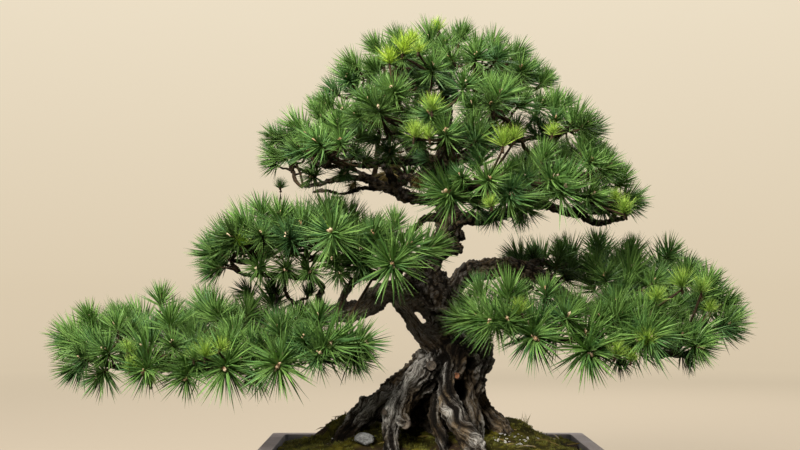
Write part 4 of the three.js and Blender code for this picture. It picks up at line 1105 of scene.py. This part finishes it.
def soil_height(x, y):
    """The mound's height in millimetres, the same as the part's."""
    across = ease((SOIL["reach"] - abs(x)) / (SOIL["reach"] - SOIL["plateau"]))
    front = ease((y - SOIL["front"]) / SOIL["front_rise"])
    back = ease((SOIL["back"] - y) / SOIL["back_rise"])
    ripple = 1.6 * (math.sin(x / 17 + y / 29) + math.cos(y / 13 - x / 41))
    return SOIL["edge"] + SOIL["mound"] * across * front * back + ripple


# Banks of moss: middle, reach and height
MOSS_BANKS = [
    (-92, 12, 46, 9), (-112, 30, 40, 5), (-134, 30, 34, 6), (112, 22, 34, 6), (-16, -84, 26, 4),
    (96, -70, 30, 4),
]


def moss_surface(x, y):
    """Height of the moss in millimetres, how high its cushion stands, and how bare the soil is there."""
    bare = ease((noise.noise(Vector((x / 42, y / 42, 3.1))) - 0.12) / 0.16)
    cells = noise.voronoi(Vector((x / 11, y / 11, 0.0)))
    cushion = min(1.0, (cells[0][1] - cells[0][0]) * 1.6)
    swell = 0.5 + 0.5 * noise.noise(Vector((x / 25, y / 25, 8.0)))
    fine = noise.noise(Vector((x / 2.4, y / 2.4, 5.0)))
    height = cushion * swell
    rise = blend(4.4 * height + 1.5 * fine, 1.2 * fine - 1.2, bare)
    for bank_x, bank_y, reach, tall in MOSS_BANKS:
        rise += tall * ease(1 - math.hypot(x - bank_x, y - bank_y) / reach)
    return soil_height(x, y) + rise, height, bare


def build_moss(finish):
    """The soil's body: a fine grid for its mossy top, walls down to the pot's floor, and a flat underside."""
    length, depth = SOIL_SIZE["length"], SOIL_SIZE["depth"]
    work = bmesh.new()
    layer = work.verts.layers.float_color.new("moss")
    bmesh.ops.create_grid(work, x_segments=round(length / MOSS_STEP), y_segments=round(depth / MOSS_STEP),
                          size=0.5)
    for vert in work.verts:
        x, y = vert.co.x * length, vert.co.y * depth
        z, height, bare = moss_surface(x, y)
        vert.co = at(x, y, z)
        vert[layer] = (height, bare, 0.0, 1.0)
    rim = [edge for edge in work.edges if edge.is_boundary]
    lowered = bmesh.ops.extrude_edge_only(work, edges=rim)["geom"]
    middle = at(0, 0, 0)
    for vert in [item for item in lowered if isinstance(item, bmesh.types.BMVert)]:
        vert.co.x = middle.x + (vert.co.x - middle.x) * SOIL_SIZE["foot_length"] / length
        vert.co.y = middle.y + (vert.co.y - middle.y) * SOIL_SIZE["foot_depth"] / depth
        vert.co.z = SOIL_SIZE["bottom"] * MM
    edges = [item for item in lowered if isinstance(item, bmesh.types.BMEdge)]
    bmesh.ops.contextual_create(work, geom=edges)
    bmesh.ops.recalc_face_normals(work, faces=work.faces)
    piece("mossy_soil", work, finish, ("soil",))


def moss_place():
    """A drawn place on the moss, clear of the pot's wall."""
    x = rng.uniform(-0.5, 0.5) * (SOIL_SIZE["length"] - 8)
    y = rng.uniform(-0.5, 0.5) * (SOIL_SIZE["depth"] - 8)
    return x, y, *moss_surface(x, y)


def drawn_turn(axis="Z"):
    """A turn by a drawn angle round an axis."""
    return Matrix.Rotation(rng.uniform(0, math.tau), 4, axis)


def sprig_clump(count, reach, tall, width, lean, tone):
    """A small clump of pointed shoots round the origin, as a mesh to be set down many times."""
    work = bmesh.new()
    layer = work.verts.layers.float_color.new("tone")
    for _ in range(count):
        foot = Vector((vary(reach), vary(reach), 0)) * MM
        height = rng.uniform(*tall) * MM
        drawn = rng.random()
        made = bmesh.ops.create_cone(work, cap_ends=False, segments=3, radius1=width * MM, radius2=0.0,
                                     depth=height)
        tilt = Matrix.Rotation(vary(lean), 4, "X") @ Matrix.Rotation(vary(lean), 4, "Y")
        for vert in made["verts"]:
            vert[layer] = (1.0 if vert.co.z > 0 else 0.0, drawn, tone * rng.random(), 1.0)
            vert.co = foot + tilt @ (vert.co + Vector((0, 0, height / 2)))
    bmesh.ops.recalc_face_normals(work, faces=work.faces)
    return to_mesh(work, "clump", smooth=False)


def build_sprigs(finish):
    """Short pointed moss shoots all over the cushions, and the grass tuft behind the roots on the right."""
    green = [sprig_clump(*GREEN_CLUMP) for _ in range(GREEN_KINDS)]
    dry = [sprig_clump(*DRY_CLUMP) for _ in range(DRY_KINDS)]
    work = bmesh.new()
    for _ in range(CLUMPS):
        x, y, z, height, bare = moss_place()
        if rng.random() < bare * 0.85:
            continue
        kinds = green if rng.random() > DRY_SHARE else dry
        kind = kinds[rng.randrange(len(kinds))]
        turn = drawn_turn()
        size = Matrix.Scale(blend(0.75, 1.2, height) * rng.uniform(0.8, 1.2), 4)
        set_down(work, kind, Matrix.Translation(at(x, y, z - 0.5)) @ turn @ size)
    grass = sprig_clump(*GRASS_CLUMP)
    set_down(work, grass, Matrix.Translation(at(*GRASS, soil_height(*GRASS))))
    for kind in (*green, *dry, grass):
        bpy.data.meshes.remove(kind)
    piece("moss_sprigs", work, finish, smooth=False)


def build_litter(finishes):
    """Dry fallen needles on the moss, and pale grit by the roots on the right."""
    work = bmesh.new()
    layer = work.verts.layers.float_color.new("tone")
    for _ in range(FALLEN_NEEDLES):
        x, y, z = moss_place()[:3]
        made = needle(work, layer, rng.uniform(0.022, 0.04), 0.002, rng.random())
        turn = drawn_turn() @ Matrix.Rotation(math.radians(86 + vary(9)), 4, "Y")
        bmesh.ops.transform(work, matrix=Matrix.Translation(at(x, y, z + 1.6)) @ turn, verts=made)
        for vert in made:
            vert[layer] = (0.5, rng.random(), 0.0, 1.0)
    bmesh.ops.recalc_face_normals(work, faces=work.faces)
    piece("fallen_needles", work, finishes["needles"], smooth=False)
    grit = bmesh.new()
    for _ in range(GRAINS):
        x, y = [middle + vary(GRIT_REACH) for middle in GRIT] if rng.random() < 0.75 else moss_place()[:2]
        size = rng.uniform(0.6, 2.1) * MM
        turn = Matrix.Rotation(rng.uniform(0, math.tau), 4, Vector((vary(0.4), vary(0.4), 1)))
        flat = Matrix.Diagonal((size * rng.uniform(0.8, 2.2), size, size * 0.45, 1.0))
        place = Matrix.Translation(at(x, y, moss_surface(x, y)[0] + 0.4))
        bmesh.ops.create_icosphere(grit, subdivisions=1, radius=1.0, matrix=place @ turn @ flat)
    piece("pale_grit", grit, finishes["grit"], smooth=False)


def build_stone(finish):
    """A rounded block with worn corners and small pits."""
    work = bmesh.new()
    bmesh.ops.create_icosphere(work, subdivisions=4, radius=1.0)
    for vert in work.verts:
        x, y, z = vert.co
        block = max(abs(x), abs(y) * 0.96, abs(z) * 0.92, (abs(x + 0.3 * y) + abs(z)) * 0.76,
                    (x * 0.8 - z + y * 0.3) * 0.72)
        lump = blend(1.0, 0.88 / block, 0.68)
        lump = lump + 0.07 * noise.noise(vert.co * 2.3) + 0.08 * noise.noise(vert.co * 5.5)
        pit = noise.voronoi(vert.co * 3.6)[0][0]
        lump -= 0.15 * max(0.0, 1 - pit * 3.2) - 0.03 * noise.noise(vert.co * 14)
        vert.co = at(*[middle + size * value * lump
                       for middle, size, value in zip(STONE["at"], STONE["size"], (x, y, z))])
    piece("pitted_stone", work, finish, ("stone",))


# The pot

def build_pot(finish):
    """The clay tray from the part's own outline, with every sharp edge rounded."""
    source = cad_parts["pot"].data.copy()
    work = bmesh.new()
    work.from_mesh(source)
    bpy.data.meshes.remove(source)
    bmesh.ops.remove_doubles(work, verts=work.verts, dist=1e-6)
    bmesh.ops.dissolve_limit(work, angle_limit=math.radians(1.5), verts=work.verts, edges=work.edges)
    sharp = [edge for edge in work.edges if edge.calc_face_angle(0) > math.radians(25)]
    bmesh.ops.bevel(work, geom=sharp, offset=POT_EDGE, offset_type="OFFSET", segments=3, profile=0.5,
                    affect="EDGES", clamp_overlap=True, material=-1)
    bmesh.ops.triangulate(work, faces=[face for face in work.faces if len(face.verts) > 4])
    piece("clay_pot", work, finish, ("pot",), smooth=False)


# The studio

# The sweep's flat radius, bend and height in metres, and each lamp's place, size, power and colour
SWEEP = {"floor": 3.4, "bend": 0.9, "top": 4.6, "steps": 12, "turns": 72}
LAMP_AIM = (0, 0, 300)
LAMPS = {
    "key": ((-900, -1500, 1500), 0.8, 101, (1.0, 0.97, 0.92)),
    "fill": ((2100, -1950, 1150), 1.5, 16.5, (1.0, 0.96, 0.88)),
    "top": ((200, 100, 1900), 1.0, 36, (1.0, 0.98, 0.95)),
    "back": ((400, 1700, 1300), 1.4, 17, (1.0, 0.97, 0.93)),
}
AIR, AIR_STRENGTH = (1.0, 0.93, 0.78, 1.0), 0.085


def sweep_finish():
    """Pale floor and wall that glow with painted light besides the lamps' own. The glow goes by the way out
    on the floor, by height on the wall.
    """
    material, tree = new_finish("studio_sweep", 0.95, 0.1)
    shader = tree.nodes["Principled BSDF"]
    where = add(tree, "ShaderNodeTexCoord").outputs["Object"]
    rise = add(tree, "ShaderNodeSeparateXYZ", {0: where}).outputs[2]
    away = add(tree, "ShaderNodeVectorMath", {0: where}, operation="LENGTH").outputs["Value"]
    # Painted light: the floor glows more further out, making up for the lamps' light falling off, and the
    # wall glows brighter higher up.
    ground = paint((0.34, 0.285, 0.205), (0.62, 0.52, 0.375), away, 0.5, 3.2)
    wall = paint((0.64, 0.54, 0.39), (0.8, 0.71, 0.55), rise, 0.3, 1.9)
    cloud = span(grain(tree, 0.8), 0.3, 0.7, 0.0, 0.05)
    glow = mix(cloud, paint(ground, wall, rise, 0.0, 0.4), (0.62, 0.52, 0.4))
    tree.links.new(glow, shader.inputs["Emission Color"])
    shader.inputs["Emission Strength"].default_value = 1.0
    return coated(material, mix(cloud, (0.19, 0.16, 0.125), (0.15, 0.125, 0.1)))


def build_sweep(finish):
    """A pale round floor that sweeps up to a wall, and throws no shade or light on the tree."""
    floor, bend = SWEEP["floor"], SWEEP["bend"]
    turns = [math.pi / 2 * step / SWEEP["steps"] for step in range(SWEEP["steps"] + 1)]
    curve = [Vector((floor + bend * math.sin(turn), 0, bend - bend * math.cos(turn))) for turn in turns]
    work = bmesh.new()
    verts = [work.verts.new(place) for place in (Vector(), *curve, Vector((floor + bend, 0, SWEEP["top"])))]
    edges = [work.edges.new(pair) for pair in zip(verts, verts[1:])]
    bmesh.ops.spin(work, geom=[*verts, *edges], cent=(0, 0, 0), axis=(0, 0, 1), angle=math.tau,
                   steps=SWEEP["turns"], use_merge=True)
    bmesh.ops.remove_doubles(work, verts=work.verts, dist=1e-5)
    bmesh.ops.recalc_face_normals(work, faces=work.faces)
    sweep = bpy.data.objects.new("studio_sweep", to_mesh(work, "studio_sweep"))
    sweep.data.materials.append(finish)
    bpy.context.scene.collection.objects.link(sweep)
    sweep.visible_shadow = sweep.visible_diffuse = sweep.visible_glossy = False


def build_lights():
    """Soft area lamps that all look at the tree, and faint warm light from all round."""
    world = bpy.data.worlds.new("studio_air")
    bpy.context.scene.world = world
    world.use_nodes = True
    colour, strength = world.node_tree.nodes["Background"].inputs[:2]
    colour.default_value = AIR
    strength.default_value = AIR_STRENGTH
    for name, (place, size, power, tint) in LAMPS.items():
        light = bpy.data.lights.new(name, "AREA")
        light.size = size
        light.energy = power
        light.color = tint
        lamp = bpy.data.objects.new(name, light)
        lamp.location = at(*place)
        lamp.rotation_euler = (at(*LAMP_AIM) - lamp.location).to_track_quat("-Z", "Y").to_euler()
        bpy.context.scene.collection.objects.link(lamp)


def build_camera():
    """A camera at the photograph's angle."""
    camera = bpy.data.cameras.new("view")
    camera.sensor_width = CAMERA["sensor"]
    camera.lens = CAMERA["lens"]
    camera.clip_end = 20
    holder = bpy.data.objects.new("view", camera)
    holder.location = at(*CAMERA["at"])
    holder.rotation_euler = (math.radians(90 + CAMERA["tilt"]), 0, 0)
    bpy.context.scene.collection.objects.link(holder)
    bpy.context.scene.camera = holder
    bpy.context.scene.view_settings.view_transform = "Standard"


build_camera()
build_sweep(sweep_finish())
build_lights()
FOLIAGE = {"needles": needle_finish(), "buds": bud_finish(), "twigs": twig_finish(),
           "grit": stone_finish("pale_grit", (0.22, 0.2, 0.18), (0.7, 0.68, 0.64))}
build_wood(bark_finish())
build_scars(scar_finish())
build_foliage(FOLIAGE)
build_moss(moss_finish())
build_sprigs(sprig_finish())
build_litter(FOLIAGE)
build_stone(stone_finish("grey_stone", (0.1, 0.1, 0.095), (0.34, 0.34, 0.33)))
build_pot(clay_finish())
